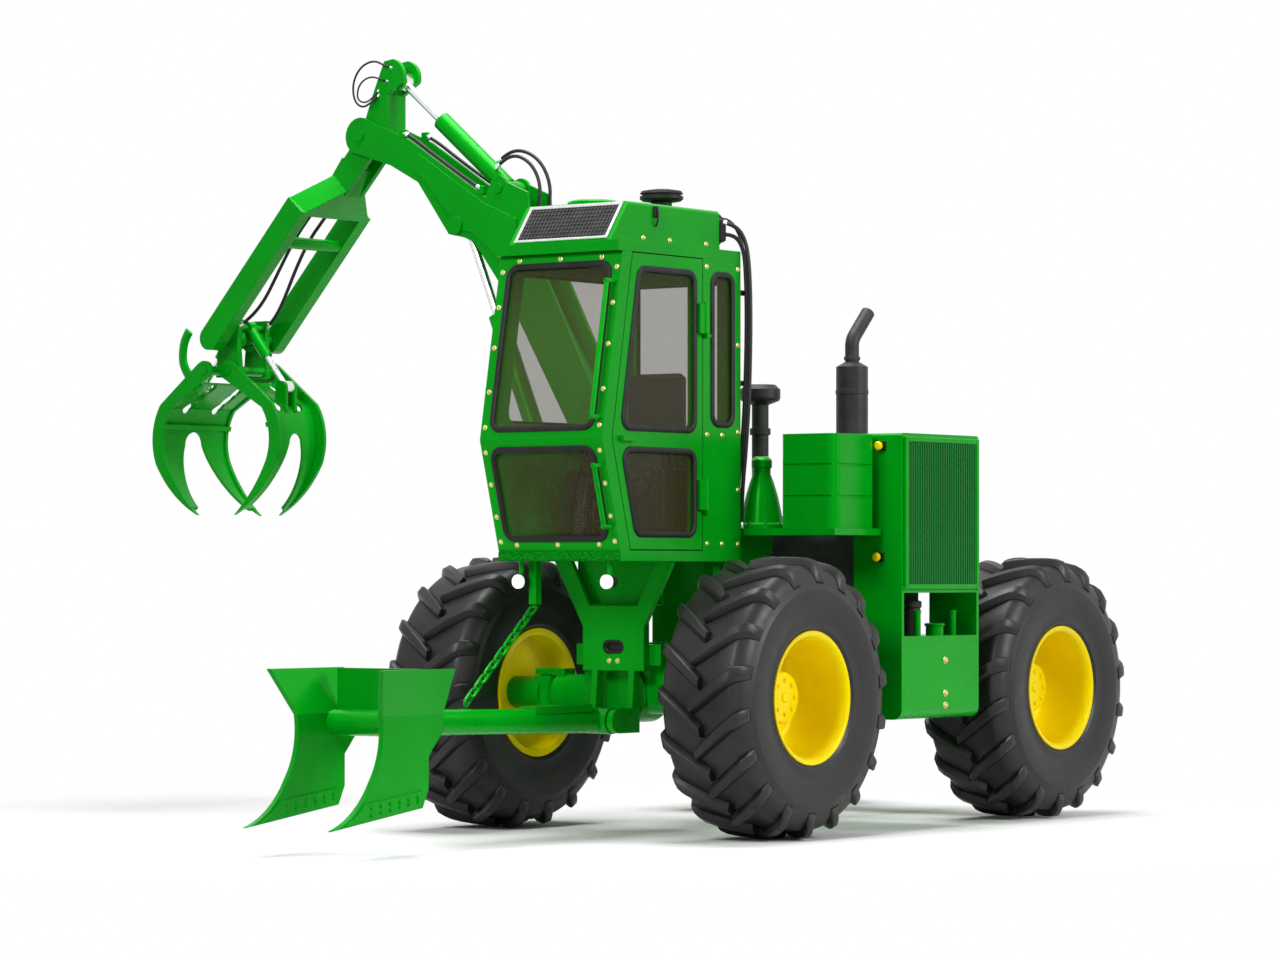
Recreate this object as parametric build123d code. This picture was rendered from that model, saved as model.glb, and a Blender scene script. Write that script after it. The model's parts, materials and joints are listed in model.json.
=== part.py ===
from build123d import *
import math
import os

# Sugarcane loader. Millimetres, +X forward, +Y the machine's left, +Z up.
# The origin is on the ground, midway between the axles.

# Fits
FIT = 0.05
SEAT = 0.3
GAP = 6

# Wheels: the tyre and its rim share one many-sided seat
WHEELBASE = 2670
TRACK_HALF = 965
TYRE_R = 790
TYRE_HALF_W = 290
SIDES = 36
BULGE_R = 600
TREAD_R = 742
TREAD_HALF_W = 205
BEAD_R = 345
BEAD_HALF_W = 250
RIM_WALL = 18
FLANGE_R = 372
FLANGE_T = 12
DISC_T = 24
DISC_IN = 70
HUB_R = 150
HUB_OUT = 70
SPINDLE_R = 60
SPINDLE_LEN = 70

# Lugs: two rows of slanted bars that meet past the middle of the tread
LUG_PAIRS = 18
LUG_ROOT_R = 600
LUG_IN = -30
LUG_OUT = 275
LUG_REACH = 140
LUG_W = 80
LUG_SLOPE_W = 45
LUG_SLOPE_H = 75

# Axles
KINGPIN_Y = 640
KINGPIN_R = 30
KNUCKLE_R = 75
KNUCKLE_H = 200
YOKE_T = 36
YOKE_HALF = 50
YOKE_DEEP = 60
AXLE_R = 110
AXLE_END_R = 140
DIFF_R = 160
DIFF_HALF = 120
SADDLE_HALF = 90

# Frame
RAIL_OVER_AXLE = 170
RAIL_H = 120
RAIL_IN = 230
RAIL_OUT = 300
REAR_REACH = 425
NOSE_REACH = 165
CROSS_W = 80
DECK_T = 40
DECK_RIGHT = 450
WHEEL_ROOM = 80
STEER_ROOM = 180
SHELF_OVER_TYRE = 120
SHELF_T = 40
PEDESTAL_HALF = 170
TABLE_HALF = 200
TABLE_T = 100
TONGUE_LEN = 160
TONGUE_HALF = 90
TONGUE_T = 50
TONGUE_RISE = 30
DRAWBAR_HOLE_R = 26

# Nose and the piler's pivot
NOSE_T = 50
NOSE_HALF = 217
NOSE_DOWN = 30
NOSE_UP = 340
SLOT_HALF = 60
SLOT_H = 50
LEG_T = 30
PIVOT_AHEAD = 190
PIVOT_UNDER_AXLE = 140
PIVOT_EAR_IN = 110
PIVOT_EAR_OUT = 150
PIVOT_EAR_H = 70

# Cab
CAB_HALF_W = 430
CAB_WALL = 50
CAB_POST = 90
CAB_BEHIND_AXLE = 430
CAB_OVER_TYRE = 30
CAB_H = 1660
CAB_BELT_H = 620
CAB_LEN_LOW = 1150
CAB_LEN_BELT = 1320
CAB_LEN_TOP = 1130
FLOOR_T = 60
ROOF_T = 60
ROOF_LIP = 40
GLASS_T = 8
PANE_BACK = 16
WINDOW_R = 60
WINDOW_EDGE = 75
HINGE_BACK = 370
HINGE_R = 10
HINGE_TUBE_R = 17
HINGE_H = 120
HINGE_OUT = 20
GRAB_R = 14
GRAB_OUT = 70
GRAB_IN = 34
SEAT_HALF = 220
SEAT_H = 440
SEAT_BACK_T = 120
SEAT_BACK_H = 1040
COLUMN_BACK = 155
LAMP_HALF = 42
LAMP_Y = 312
LAMP_DROP = 72
LAMP_BACK = 60

# On the roof
UNIT_H = 230
UNIT_HALF = 360
UNIT_FILLET = 25
FAN_R = 150
CLEANER_R = 125

# Engine area
SIDE_OUT = 215
TANK_IN = 185
TANK_H = 440
TANK_FILLET = 60
RIB_TANK_LEN = 425
RIB_TANK_W = 390
RIB_TANK_H = 540
RIB_TANK_Y = 640
RIB_TANK_GAP = 35
RIB_GROOVE = 16
RIB_DEEP = 8
ENGINE_H = 700
RADIATOR_DEEP = 330
RADIATOR_RISE = 250
RADIATOR_H = 920
SKIRT_T = 25
GRILLE_RIBS = 16
GRILLE_T = 18
GRILLE_EDGE = 50
MUFFLER_R = 95
PIPE_R = 42

# Mast and arm, in the boom's own plane: r runs outward from the mast, z up from the mast's foot
MAST_BEHIND_CAB = 305
MAST_BESIDE_CAB = 220
MAST_R = 150
FOOT = (30, 410)
LIFT_BASE = (460, 160)
LIFT_EYE = (1170, 1880)
STICK_BASE = (845, 2089)
ELBOW = (1940, 2470)
STICK_EYE = (1688, 2801)
TIP = (3010, 1245)
PIN_R = 32
PLATE = 25
BOOM_HALF = 120
DOUBLER_T = 10
RAIL_HALF = 285
RAIL_W = 90
RAIL_END_R = 75
BARREL_R = 58
ROD_R = 27
EYE_R = 55
EYE_HALF = 30
EYE_WALL = 18
CHEEK_IN = 56
BARREL_HALF = 88

# Grapple
HEAD_HALF = 150
HEAD_IN = 60
HEAD_PLATE = 40
JAW_DROP = 200
JAW_SPREAD = 60
JAW_PIN_R = 30
JAW_HALF = {1: 310, -1: 225}
TINE_T = 25
JAW_BASE = (50, 75)
JAW_EYE = (300, -110)
JAW_EYE_R = 42
JAW_BARREL_R = 36
JAW_ROD_R = 20
JAW_CYL_PIN_R = 20
JAW_HOLE_R = 36

# Piler
PILER_ARM_R = 70
TINE_Y = 275
PILER_TINE_T = 30
FLARE_OUT = 95
WEAR_T = 10
LINK_LEN = 74
LINK_T = 16
LINK_HALF_W = 30
CHAIN_LUG = 25
CHAIN_BACK = 130

# Places that follow from the sizes
FRONT_X = WHEELBASE / 2
REAR_X = -WHEELBASE / 2
RAIL_Z0 = TYRE_R + RAIL_OVER_AXLE
RAIL_Z1 = RAIL_Z0 + RAIL_H
RAIL_REAR = REAR_X - REAR_REACH
RAIL_FRONT = FRONT_X + NOSE_REACH
HUB_FACE = TRACK_HALF - DISC_IN - DISC_T
DECK_X0 = REAR_X + TYRE_R + WHEEL_ROOM
DECK_X1 = FRONT_X - TYRE_R - STEER_ROOM
DECK_Z = RAIL_Z1 + DECK_T
SIDE_Y = TRACK_HALF + SIDE_OUT
SHELF_Z = 2 * TYRE_R + SHELF_OVER_TYRE
CAB_REAR = FRONT_X - CAB_BEHIND_AXLE
CAB_Z0 = 2 * TYRE_R + CAB_OVER_TYRE
CAB_Z1 = CAB_Z0 + CAB_H
CAB_BELT_Z = CAB_Z0 + CAB_BELT_H
HINGE_X = CAB_REAR + HINGE_BACK
HINGE_Y = CAB_HALF_W + HINGE_OUT
HINGE_Z = (CAB_Z0 + 290, CAB_Z0 + 1290)
ROOF_TOP = CAB_Z1 + ROOF_T
UNIT_REAR, UNIT_SLOPE, UNIT_FRONT = CAB_REAR + 115, CAB_REAR + 975, CAB_REAR + 1145
UNIT_TOP = ROOF_TOP + UNIT_H
MAST_X = CAB_REAR - MAST_BEHIND_CAB
MAST_Y = -CAB_HALF_W - MAST_BESIDE_CAB
MAST_Z = SHELF_Z + 20
PIVOT_X = RAIL_FRONT + PIVOT_AHEAD
PIVOT_Z = TYRE_R - PIVOT_UNDER_AXLE
JAW_Z = TIP[1] - JAW_DROP
CHAIN_TOP = (CAB_REAR + CAB_LEN_LOW - CHAIN_BACK, -270, PIVOT_Z + 650)
CHAIN_END = (PIVOT_X + 1135, -60, PIVOT_Z + 110)


def block(x0, x1, y0, y1, z0, z1):
    """A box from its low and high faces."""
    return Pos((x0 + x1) / 2, (y0 + y1) / 2, (z0 + z1) / 2) * Box(x1 - x0, y1 - y0, z1 - z0)


def bar_x(y, z, r, x0, x1):
    """A round bar along X."""
    return Pos((x0 + x1) / 2, y, z) * Rot(0, 90, 0) * Cylinder(r, x1 - x0)


def bar_y(x, z, r, y0, y1):
    """A round bar along Y."""
    return Pos(x, (y0 + y1) / 2, z) * Rot(90, 0, 0) * Cylinder(r, y1 - y0)


def bar_z(x, y, r, z0, z1):
    """A round bar along Z."""
    return Pos(x, y, (z0 + z1) / 2) * Cylinder(r, z1 - z0)


def rod(a, b, r):
    """A round bar from point a to point b."""
    start, end = Vector(*a), Vector(*b)
    way = end - start
    return Plane(origin=start, z_dir=way) * Cylinder(
        r, way.length, align=(Align.CENTER, Align.CENTER, Align.MIN))


def turned(x, y, z, profile):
    """A body turned about an upright axis; the profile gives radius and height over z."""
    points = [(0, profile[0][1])] + profile + [(0, profile[-1][1])]
    face = Plane.XZ * make_face(Polyline(*points, close=True))
    return Pos(x, y, z) * revolve(face, Axis.Z)


def outline(steps):
    """A closed face. A step is a point, or the middle and the end of an arc."""
    edges, last = [], steps[0]
    for step in steps[1:] + steps[:1]:
        if isinstance(step[0], tuple):
            middle, end = step
            edges.append(ThreePointArc(last, middle, end))
        else:
            end = step
            edges.append(Line(last, end))
        last = end
    return make_face(edges)


def placed(steps, at, side=1):
    """The steps of an outline moved to a place, turned over where side is -1."""
    def put(p):
        return (at[0] + side * p[0], at[1] + p[1])
    return [tuple(put(p) for p in s) if isinstance(s[0], tuple) else put(s) for s in steps]


def side_plate(steps, y0, y1):
    """An outline in X and Z, extruded from y0 to y1."""
    plane = Plane(origin=(0, y1, 0), x_dir=(1, 0, 0), z_dir=(0, -1, 0))
    return extrude(plane * outline(steps), y1 - y0)


def arm_plate(steps, off0, off1, at=(0, 0), side=1):
    """An outline in the boom's plane, extruded along X from off0 to off1 about the mast."""
    plane = Plane(origin=(MAST_X + off1, MAST_Y, MAST_Z), x_dir=(0, -1, 0), z_dir=(-1, 0, 0))
    return extrude(plane * outline(placed(steps, at, side)), off1 - off0)


def arm_point(p, off=0):
    """A point of the boom's plane in the machine's frame."""
    return (MAST_X + off, MAST_Y - p[0], MAST_Z + p[1])


def arm_bar(p, r, off0, off1):
    """A round bar across the boom's plane."""
    x, y, z = arm_point(p, (off0 + off1) / 2)
    return Pos(x, y, z) * Rot(0, 90, 0) * Cylinder(r, off1 - off0)


def both(shape, off0, off1, *args, **more):
    """A shape of the boom's plane made on both sides, from off0 to off1."""
    return [shape(*args, *sorted((s * off0, s * off1)), **more) for s in (-1, 1)]


def along(a, b, distance):
    """The point a given distance from a towards b."""
    length = math.dist(a, b)
    return tuple(p + (q - p) * distance / length for p, q in zip(a, b))


def wheel_ring(w, r):
    """A many-sided section of the wheel, w from its middle."""
    return Plane(origin=(0, w, 0), x_dir=(1, 0, 0), z_dir=(0, 1, 0)) * RegularPolygon(r, SIDES)


def wheel_body(*sections):
    """A many-sided body through sections of (place across the wheel, radius)."""
    return loft([wheel_ring(w, r) for w, r in sections], ruled=True)


def lug(hand):
    """One lug at the front of the tread, its inner end low; hand is the row."""
    tip_r = TYRE_R / math.cos(math.pi / SIDES)
    top = math.sqrt(tip_r ** 2 - LUG_REACH ** 2)
    inner = LUG_REACH - LUG_W
    plan = [(hand * LUG_IN, -LUG_REACH), (hand * LUG_IN, -inner), (hand * LUG_OUT, LUG_REACH),
            (hand * LUG_OUT, inner)]
    root = Plane(origin=(LUG_ROOT_R, 0, 0), x_dir=(0, 1, 0), z_dir=(1, 0, 0))
    body = extrude(root * make_face(Polyline(*plan, close=True)), top - LUG_ROOT_R)
    slope = [(top + 1, LUG_OUT - LUG_SLOPE_W), (top + 1, LUG_OUT + 1), (top - LUG_SLOPE_H, LUG_OUT + 1)]
    wedge = Pos(0, 0, -LUG_REACH - 1) * extrude(
        make_face(Polyline(*[(r, hand * w) for r, w in slope], close=True)), 2 * LUG_REACH + 2)
    corner = math.degrees(math.atan2(LUG_REACH, top))
    return body - wedge, corner


def tyre():
    """Tyre at the origin: many-sided carcass with two rows of lugs."""
    body = wheel_body((-TYRE_HALF_W, BULGE_R), (-TREAD_HALF_W, TREAD_R), (TREAD_HALF_W, TREAD_R),
                      (TYRE_HALF_W, BULGE_R))
    for s in (-1, 1):
        body -= wheel_body((s * BEAD_HALF_W, FLANGE_R), (s * TYRE_HALF_W, BULGE_R))
    body -= wheel_body((-TYRE_HALF_W - 1, BEAD_R), (TYRE_HALF_W + 1, BEAD_R))
    pitch = 360 / LUG_PAIRS
    lugs = []
    for hand in (-1, 1):
        shape, corner = lug(hand)
        low = 90 - corner - hand * pitch / 4
        lugs += [Rot(0, low + i * pitch, 0) * shape for i in range(LUG_PAIRS)]
    return body + lugs


def rim():
    """Deep dish rim at the origin, its disc towards the machine, with a bored hub."""
    disc0 = -DISC_IN - DISC_T
    edge = BEAD_HALF_W + FLANGE_T
    body = wheel_body((-BEAD_HALF_W, BEAD_R), (BEAD_HALF_W, BEAD_R))
    body += [wheel_body((s * BEAD_HALF_W, FLANGE_R), (s * edge, FLANGE_R)) for s in (-1, 1)]
    body -= wheel_body((-DISC_IN, BEAD_R - RIM_WALL), (edge + 1, BEAD_R - RIM_WALL))
    body -= wheel_body((-edge - 1, BEAD_R - RIM_WALL), (disc0, BEAD_R - RIM_WALL))
    body += bar_y(0, 0, HUB_R, disc0, HUB_OUT)
    return body - bar_y(0, 0, SPINDLE_R + FIT, disc0 - 1, disc0 + SPINDLE_LEN + GAP)


def at_wheel(shape, x, side):
    """A wheel piece set at its axle; the right one is the left one mirrored."""
    body = shape if side > 0 else mirror(shape, Plane.XZ)
    return Pos(x, side * TRACK_HALF, TYRE_R) * body


def knuckle(side):
    """Steering knuckle: kingpin barrel, housing and spindle."""
    barrel = bar_z(FRONT_X, KINGPIN_Y, KNUCKLE_R, TYRE_R - KNUCKLE_H / 2, TYRE_R + KNUCKLE_H / 2)
    housing = bar_y(FRONT_X, TYRE_R, KNUCKLE_R + 20, KINGPIN_Y, HUB_FACE - GAP)
    spindle = bar_y(FRONT_X, TYRE_R, SPINDLE_R, KINGPIN_Y, HUB_FACE + SPINDLE_LEN)
    bore = bar_z(FRONT_X, KINGPIN_Y, KINGPIN_R + FIT, 0, 2 * TYRE_R)
    body = barrel + housing + spindle - bore
    return body if side > 0 else mirror(body, Plane.XZ)


def front_axle():
    """Steered axle: beam, differential, saddle under the rails, yokes and kingpins."""
    end = KINGPIN_Y - KNUCKLE_R - YOKE_DEEP / 2
    half = KNUCKLE_H / 2 + GAP
    body = bar_y(FRONT_X, TYRE_R, AXLE_R, -end, end)
    body += bar_x(0, TYRE_R, DIFF_R, FRONT_X - DIFF_HALF, FRONT_X + DIFF_HALF)
    body += block(FRONT_X - SADDLE_HALF, FRONT_X + SADDLE_HALF, -RAIL_OUT, RAIL_OUT, TYRE_R, RAIL_Z0)
    x0, x1 = FRONT_X - YOKE_HALF, FRONT_X + YOKE_HALF
    for side in (-1, 1):
        root, tip = side * (end - YOKE_DEEP), side * (KINGPIN_Y + YOKE_HALF)
        y0, y1 = sorted((root, tip))
        for z0 in (TYRE_R - half - YOKE_T, TYRE_R + half):
            body += block(x0, x1, y0, y1, z0, z0 + YOKE_T)
        y0, y1 = sorted((root, side * end))
        body += block(x0, x1, y0, y1, TYRE_R - half - 1, TYRE_R + half + 1)
        body += bar_z(FRONT_X, side * KINGPIN_Y, KINGPIN_R, TYRE_R - half - 1, TYRE_R + half + 1)
    return body


def rear_axle():
    """Rigid axle: beam, differential, saddle under the rails and spindles."""
    tip = HUB_FACE + SPINDLE_LEN
    body = bar_y(REAR_X, TYRE_R, SPINDLE_R, -tip, tip)
    body += bar_y(REAR_X, TYRE_R, AXLE_END_R, -HUB_FACE + GAP, HUB_FACE - GAP)
    body += bar_x(0, TYRE_R, DIFF_R, REAR_X - DIFF_HALF - 40, REAR_X + DIFF_HALF + 40)
    return body + block(REAR_X - SADDLE_HALF, REAR_X + SADDLE_HALF, -RAIL_OUT, RAIL_OUT, TYRE_R, RAIL_Z0)


RIB_TANK_X = DECK_X1 + RIB_TANK_GAP
RIB_TANK_Z = SHELF_Z + SHELF_T


def main_frame():
    """Rails, cross members, engine deck, mast pedestal, shelf, cab posts and drawbar."""
    parts = []
    for y0, y1 in ((-RAIL_OUT, -RAIL_IN), (RAIL_IN, RAIL_OUT)):
        parts.append(block(RAIL_REAR, RAIL_FRONT, y0, y1, RAIL_Z0, RAIL_Z1))
        parts.append(block(CAB_REAR + 20, CAB_REAR + 90, y0, y1, RAIL_Z1, CAB_Z0 - FLOOR_T))
    for x in (RAIL_REAR, REAR_X + 435, MAST_X - PEDESTAL_HALF, CAB_REAR, RAIL_FRONT - CROSS_W):
        parts.append(block(x, x + CROSS_W, -RAIL_OUT, RAIL_OUT, RAIL_Z0, RAIL_Z1))
    parts.append(block(DECK_X0, DECK_X1, -DECK_RIGHT, SIDE_Y, RAIL_Z1, DECK_Z))
    parts.append(block(MAST_X - PEDESTAL_HALF, MAST_X + PEDESTAL_HALF, -RAIL_OUT, RAIL_OUT,
                       RAIL_Z1, SHELF_Z))
    parts.append(block(MAST_X - TABLE_HALF, MAST_X + TABLE_HALF, MAST_Y - TABLE_HALF, RAIL_OUT,
                       SHELF_Z - TABLE_T, MAST_Z))
    parts.append(block(RIB_TANK_X - 20, RIB_TANK_X + RIB_TANK_LEN + 35, RAIL_OUT - 1,
                       RIB_TANK_Y + RIB_TANK_W + 20, SHELF_Z, RIB_TANK_Z))
    tongue = block(RAIL_REAR - TONGUE_LEN, RAIL_REAR, -TONGUE_HALF, TONGUE_HALF,
                   RAIL_Z0 + TONGUE_RISE, RAIL_Z0 + TONGUE_RISE + TONGUE_T)
    tongue -= bar_z(RAIL_REAR - TONGUE_HALF, 0, DRAWBAR_HOLE_R, RAIL_Z0, RAIL_Z1)
    return tongue + parts


def nose_frame():
    """Nose box with its slot, slanted legs up to the cab floor and the piler's pivot ears."""
    front = RAIL_FRONT + NOSE_T
    body = block(RAIL_FRONT, front, -NOSE_HALF, NOSE_HALF, RAIL_Z0 - NOSE_DOWN, RAIL_Z0 + NOSE_UP)
    slot = Plane(origin=(front, 0, RAIL_Z0 + 105), x_dir=(0, 1, 0), z_dir=(-1, 0, 0)) * \
        SlotOverall(2 * SLOT_HALF, SLOT_H)
    body -= extrude(slot, NOSE_T / 2)
    top, low = CAB_Z0 - FLOOR_T, RAIL_Z0 + NOSE_UP - 120
    for side in (-1, 1):
        leg = [(side * NOSE_HALF / 2, low), (side * NOSE_HALF, low), (side * (CAB_HALF_W - 10), top),
               (side * (CAB_HALF_W - 130), top)]
        plane = Plane(origin=(front - LEG_T, 0, 0), x_dir=(0, 1, 0), z_dir=(1, 0, 0))
        body += extrude(plane * outline(leg), LEG_T)
    ear = [(RAIL_FRONT, PIVOT_Z - PIVOT_EAR_H), (PIVOT_X, PIVOT_Z - PIVOT_EAR_H),
           ((PIVOT_X + PIVOT_EAR_H, PIVOT_Z), (PIVOT_X, PIVOT_Z + PIVOT_EAR_H)),
           (front + 20, PIVOT_Z + PIVOT_EAR_H), (front, RAIL_Z0), (RAIL_FRONT, RAIL_Z0)]
    for y0, y1 in ((-PIVOT_EAR_OUT, -PIVOT_EAR_IN), (PIVOT_EAR_IN, PIVOT_EAR_OUT)):
        body += side_plate(ear, y0, y1)
    return body + bar_y(PIVOT_X, PIVOT_Z, PIN_R, -PIVOT_EAR_OUT, PIVOT_EAR_OUT)


def cab_outline(inset):
    """Points of the cab's front edge, moved back by the inset."""
    return [(CAB_REAR + CAB_LEN_LOW - inset, CAB_Z0), (CAB_REAR + CAB_LEN_BELT - inset, CAB_BELT_Z),
            (CAB_REAR + CAB_LEN_TOP - inset, CAB_Z1)]


def front_x(z, inset):
    """X of the cab's front edge at a height, moved back by the inset."""
    low, belt, top = cab_outline(inset)
    a, b = (low, belt) if z <= CAB_BELT_Z else (belt, top)
    return a[0] + (b[0] - a[0]) * (z - a[1]) / (b[1] - a[1])


def window_cut(points, y0, y1):
    """A cut or pane of a side window, with rounded corners."""
    return fillet(side_plate(points, y0, y1).edges().filter_by(Axis.Y), WINDOW_R)


def front_window(z0, z1):
    """A cut right through the cab's front, with rounded corners."""
    plane = Plane(origin=(CAB_REAR + CAB_LEN_LOW / 2, 0, (z0 + z1) / 2), x_dir=(0, 1, 0), z_dir=(1, 0, 0))
    return extrude(plane * RectangleRounded(2 * (CAB_HALF_W - WINDOW_EDGE), z1 - z0, WINDOW_R), CAB_LEN_LOW)


DOOR_FRONT = CAB_POST + GAP
FRONT_WINDOWS = ((CAB_Z0 + 70, CAB_BELT_Z - 55), (CAB_BELT_Z + 55, CAB_Z1 - 70))
DOOR_WINDOWS = ((CAB_Z0 + 90, CAB_BELT_Z - 60), (CAB_BELT_Z + 60, CAB_Z1 - 90))
SIDE_WINDOW_Z = (CAB_BELT_Z + 100, CAB_Z1 - 85)
REAR_WINDOW = (300, CAB_BELT_Z + 70, CAB_Z1 - 120)


def side_window(x1_low, x1_high):
    """The outline of a window behind the door post or in the right wall."""
    z0, z1 = SIDE_WINDOW_Z
    return [(CAB_REAR + 80, z0), (x1_low, z0), (x1_high, z1), (CAB_REAR + 80, z1)]


RIGHT_WINDOW = side_window(*(front_x(z, CAB_POST + 80) for z in SIDE_WINDOW_Z))
QUARTER_WINDOW = side_window(HINGE_X - 90, HINGE_X - 90)


def door_window(z0, z1):
    """The outline of a door window between two heights."""
    inset = DOOR_FRONT + WINDOW_EDGE
    return [(HINGE_X + 80, z0), (front_x(z0, inset), z0), (front_x(z1, inset), z1), (HINGE_X + 80, z1)]


def chain():
    """Flat links from the cab's hanger down to the piler's arm, each turned from the one before it."""
    start, end = Vector(*CHAIN_TOP), Vector(*CHAIN_END)
    way = (end - start).normalized()
    pitch = LINK_LEN - SEAT
    count = round(((end - start).length - 2 * LINK_T) / pitch)
    half, cut = LINK_LEN / 2 + LINK_T, LINK_HALF_W - LINK_T
    corner = cut
    shape = [(half, cut), (half - corner, LINK_HALF_W), (corner - half, LINK_HALF_W), (-half, cut),
             (-half, -cut), (corner - half, -LINK_HALF_W), (half - corner, -LINK_HALF_W), (half, -cut)]
    links = []
    for i in range(count):
        across = way.cross(Vector(0, 0, 1)).normalized()
        face_way = across if i % 2 else across.cross(way)
        plane = Plane(origin=start + way * (half + i * pitch), x_dir=way, z_dir=face_way)
        flat = make_face(Polyline(*shape, close=True)) - Rectangle(LINK_LEN, 2 * cut)
        links.append(extrude(plane * flat, LINK_T / 2, both=True))
    return links


CHAIN = chain()


def cab_floor():
    """Floor plate with the hanger for the piler's chain and the stems of the lamps."""
    under = CAB_Z0 - FLOOR_T
    front = CAB_REAR + CAB_LEN_LOW
    body = block(CAB_REAR, front, -CAB_HALF_W, CAB_HALF_W, under, CAB_Z0)
    x, y, _ = CHAIN_TOP
    body += block(x - CHAIN_LUG, x + CHAIN_LUG, y - CHAIN_LUG, y + CHAIN_LUG,
                  CHAIN[0].bounding_box().max.Z + SEAT, under + 1)
    for s in (-1, 1):
        body += bar_z(front - LAMP_BACK, s * LAMP_Y, LAMP_HALF / 3, under - LAMP_DROP, under + 1)
    return body


def headlamps():
    """Two rounded lamps under the cab's front edge."""
    front, top = CAB_REAR + CAB_LEN_LOW, CAB_Z0 - FLOOR_T - LAMP_DROP
    lamp = block(front - LAMP_BACK - LAMP_HALF, front - LAMP_BACK + LAMP_HALF, -LAMP_HALF, LAMP_HALF,
                 top - 2 * LAMP_HALF, top)
    lamp = fillet(lamp.edges().filter_by(Axis.X), LAMP_HALF / 3)
    return Compound([Pos(0, s * LAMP_Y, 0) * lamp for s in (-1, 1)])


def cab_front():
    """Both slanted front panels with their windows, and two grab rails by the door."""
    body = side_plate(cab_outline(0) + cab_outline(CAB_POST)[::-1], -CAB_HALF_W, CAB_HALF_W)
    for z0, z1 in FRONT_WINDOWS:
        body -= front_window(z0, z1)
        y = CAB_HALF_W - GRAB_IN
        ends = [(front_x(z, -GRAB_OUT), y, z) for z in (z0 + 60, z1 - 100)]
        body += rod(*ends, GRAB_R)
        for x, _, z in ends:
            body += rod((x - GRAB_OUT - 10, y, z), (x + GRAB_R, y, z), GRAB_R)
    return body


def cab_sides():
    """Quarter panel behind the left door with its hinge pins, and the right wall with its window."""
    z_low = [z - HINGE_H / 2 for z in HINGE_Z]
    left = block(CAB_REAR, HINGE_X, CAB_HALF_W - CAB_WALL, CAB_HALF_W, CAB_Z0, CAB_Z1)
    left -= window_cut(QUARTER_WINDOW, CAB_HALF_W - CAB_WALL - 1, CAB_HALF_W + 1)
    for z in z_low:
        left += bar_z(HINGE_X, HINGE_Y, HINGE_R, z, z + 1.5 * HINGE_H)
        left += block(HINGE_X - 40, HINGE_X + 2, CAB_HALF_W - 1, HINGE_Y + HINGE_R, z - 20, z)
    wall = cab_outline(CAB_POST) + [(CAB_REAR, CAB_Z1), (CAB_REAR, CAB_Z0)]
    right = side_plate(wall, -CAB_HALF_W, -CAB_HALF_W + CAB_WALL)
    return left, right - window_cut(RIGHT_WINDOW, -CAB_HALF_W - 1, -CAB_HALF_W + CAB_WALL + 1)


def door():
    """Left door with two windows, hinge tubes and a handle."""
    z0, z1 = CAB_Z0 + GAP, CAB_Z1 - GAP
    edge = [(front_x(z, DOOR_FRONT), z) for z in (z0, CAB_BELT_Z, z1)]
    edge = [(HINGE_X + GAP, z0)] + edge + [(HINGE_X + GAP, z1)]
    body = side_plate(edge, CAB_HALF_W - CAB_WALL, CAB_HALF_W)
    for low, high in DOOR_WINDOWS:
        body -= window_cut(door_window(low, high), CAB_HALF_W - CAB_WALL - 1, CAB_HALF_W + 1)
    for z in HINGE_Z:
        z0, z1 = z - HINGE_H / 2 + 1, z + HINGE_H - 10
        body += bar_z(HINGE_X, HINGE_Y, HINGE_TUBE_R, z0, z1)
        body += block(HINGE_X, HINGE_X + 60, HINGE_Y - 12, HINGE_Y + 5, z0, z1)
        body += block(HINGE_X + 25, HINGE_X + 60, CAB_HALF_W - 1, HINGE_Y, z0, z1)
        body -= bar_z(HINGE_X, HINGE_Y, HINGE_R + FIT, z0 - 1, z1 + 1)
    x = front_x(CAB_BELT_Z, DOOR_FRONT + WINDOW_EDGE)
    return body + block(x - 110, x + 10, CAB_HALF_W - 1, CAB_HALF_W + 30, CAB_BELT_Z - 15, CAB_BELT_Z + 15)


def side_pane(points, side):
    """A pane near the outer face of a side wall."""
    y = side * (CAB_HALF_W - PANE_BACK)
    return window_cut(points, y - GLASS_T / 2, y + GLASS_T / 2)


def cab_glass():
    """Panes of the front, the right wall, the quarter panel and the rear wall."""
    strip = cab_outline(PANE_BACK - GLASS_T / 2) + cab_outline(PANE_BACK + GLASS_T / 2)[::-1]
    slab = side_plate(strip, -CAB_HALF_W, CAB_HALF_W)
    front = [slab & front_window(z0, z1) for z0, z1 in FRONT_WINDOWS]
    half, z0, z1 = REAR_WINDOW
    rear = block(CAB_REAR + PANE_BACK, CAB_REAR + PANE_BACK + GLASS_T, -half, half, z0, z1)
    return Compound(front + [side_pane(RIGHT_WINDOW, -1), side_pane(QUARTER_WINDOW, 1), rear])


def cab_rear():
    """Rear wall with a window."""
    inner = CAB_HALF_W - CAB_WALL
    half, z0, z1 = REAR_WINDOW
    body = block(CAB_REAR, CAB_REAR + CAB_WALL, -inner, inner, CAB_Z0, CAB_Z1)
    return body - block(CAB_REAR - 1, CAB_REAR + CAB_WALL + 1, -half, half, z0, z1)


def roof_unit():
    """Air unit with a sloped front, rounded upper edges and a dished fan cover."""
    side = [(UNIT_REAR, ROOF_TOP), (UNIT_FRONT, ROOF_TOP), (UNIT_SLOPE, UNIT_TOP), (UNIT_REAR, UNIT_TOP)]
    body = side_plate(side, -UNIT_HALF, UNIT_HALF)
    body = fillet(body.edges().filter_by(Axis.X).sort_by(Axis.Z)[-2:], UNIT_FILLET)
    fan = [(FAN_R, -1), (FAN_R, 30), (FAN_R - 20, 40), (FAN_R - 35, 22), (40, 22), (40, 32)]
    return body + turned(UNIT_SLOPE - 280, -100, UNIT_TOP, fan)


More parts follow.
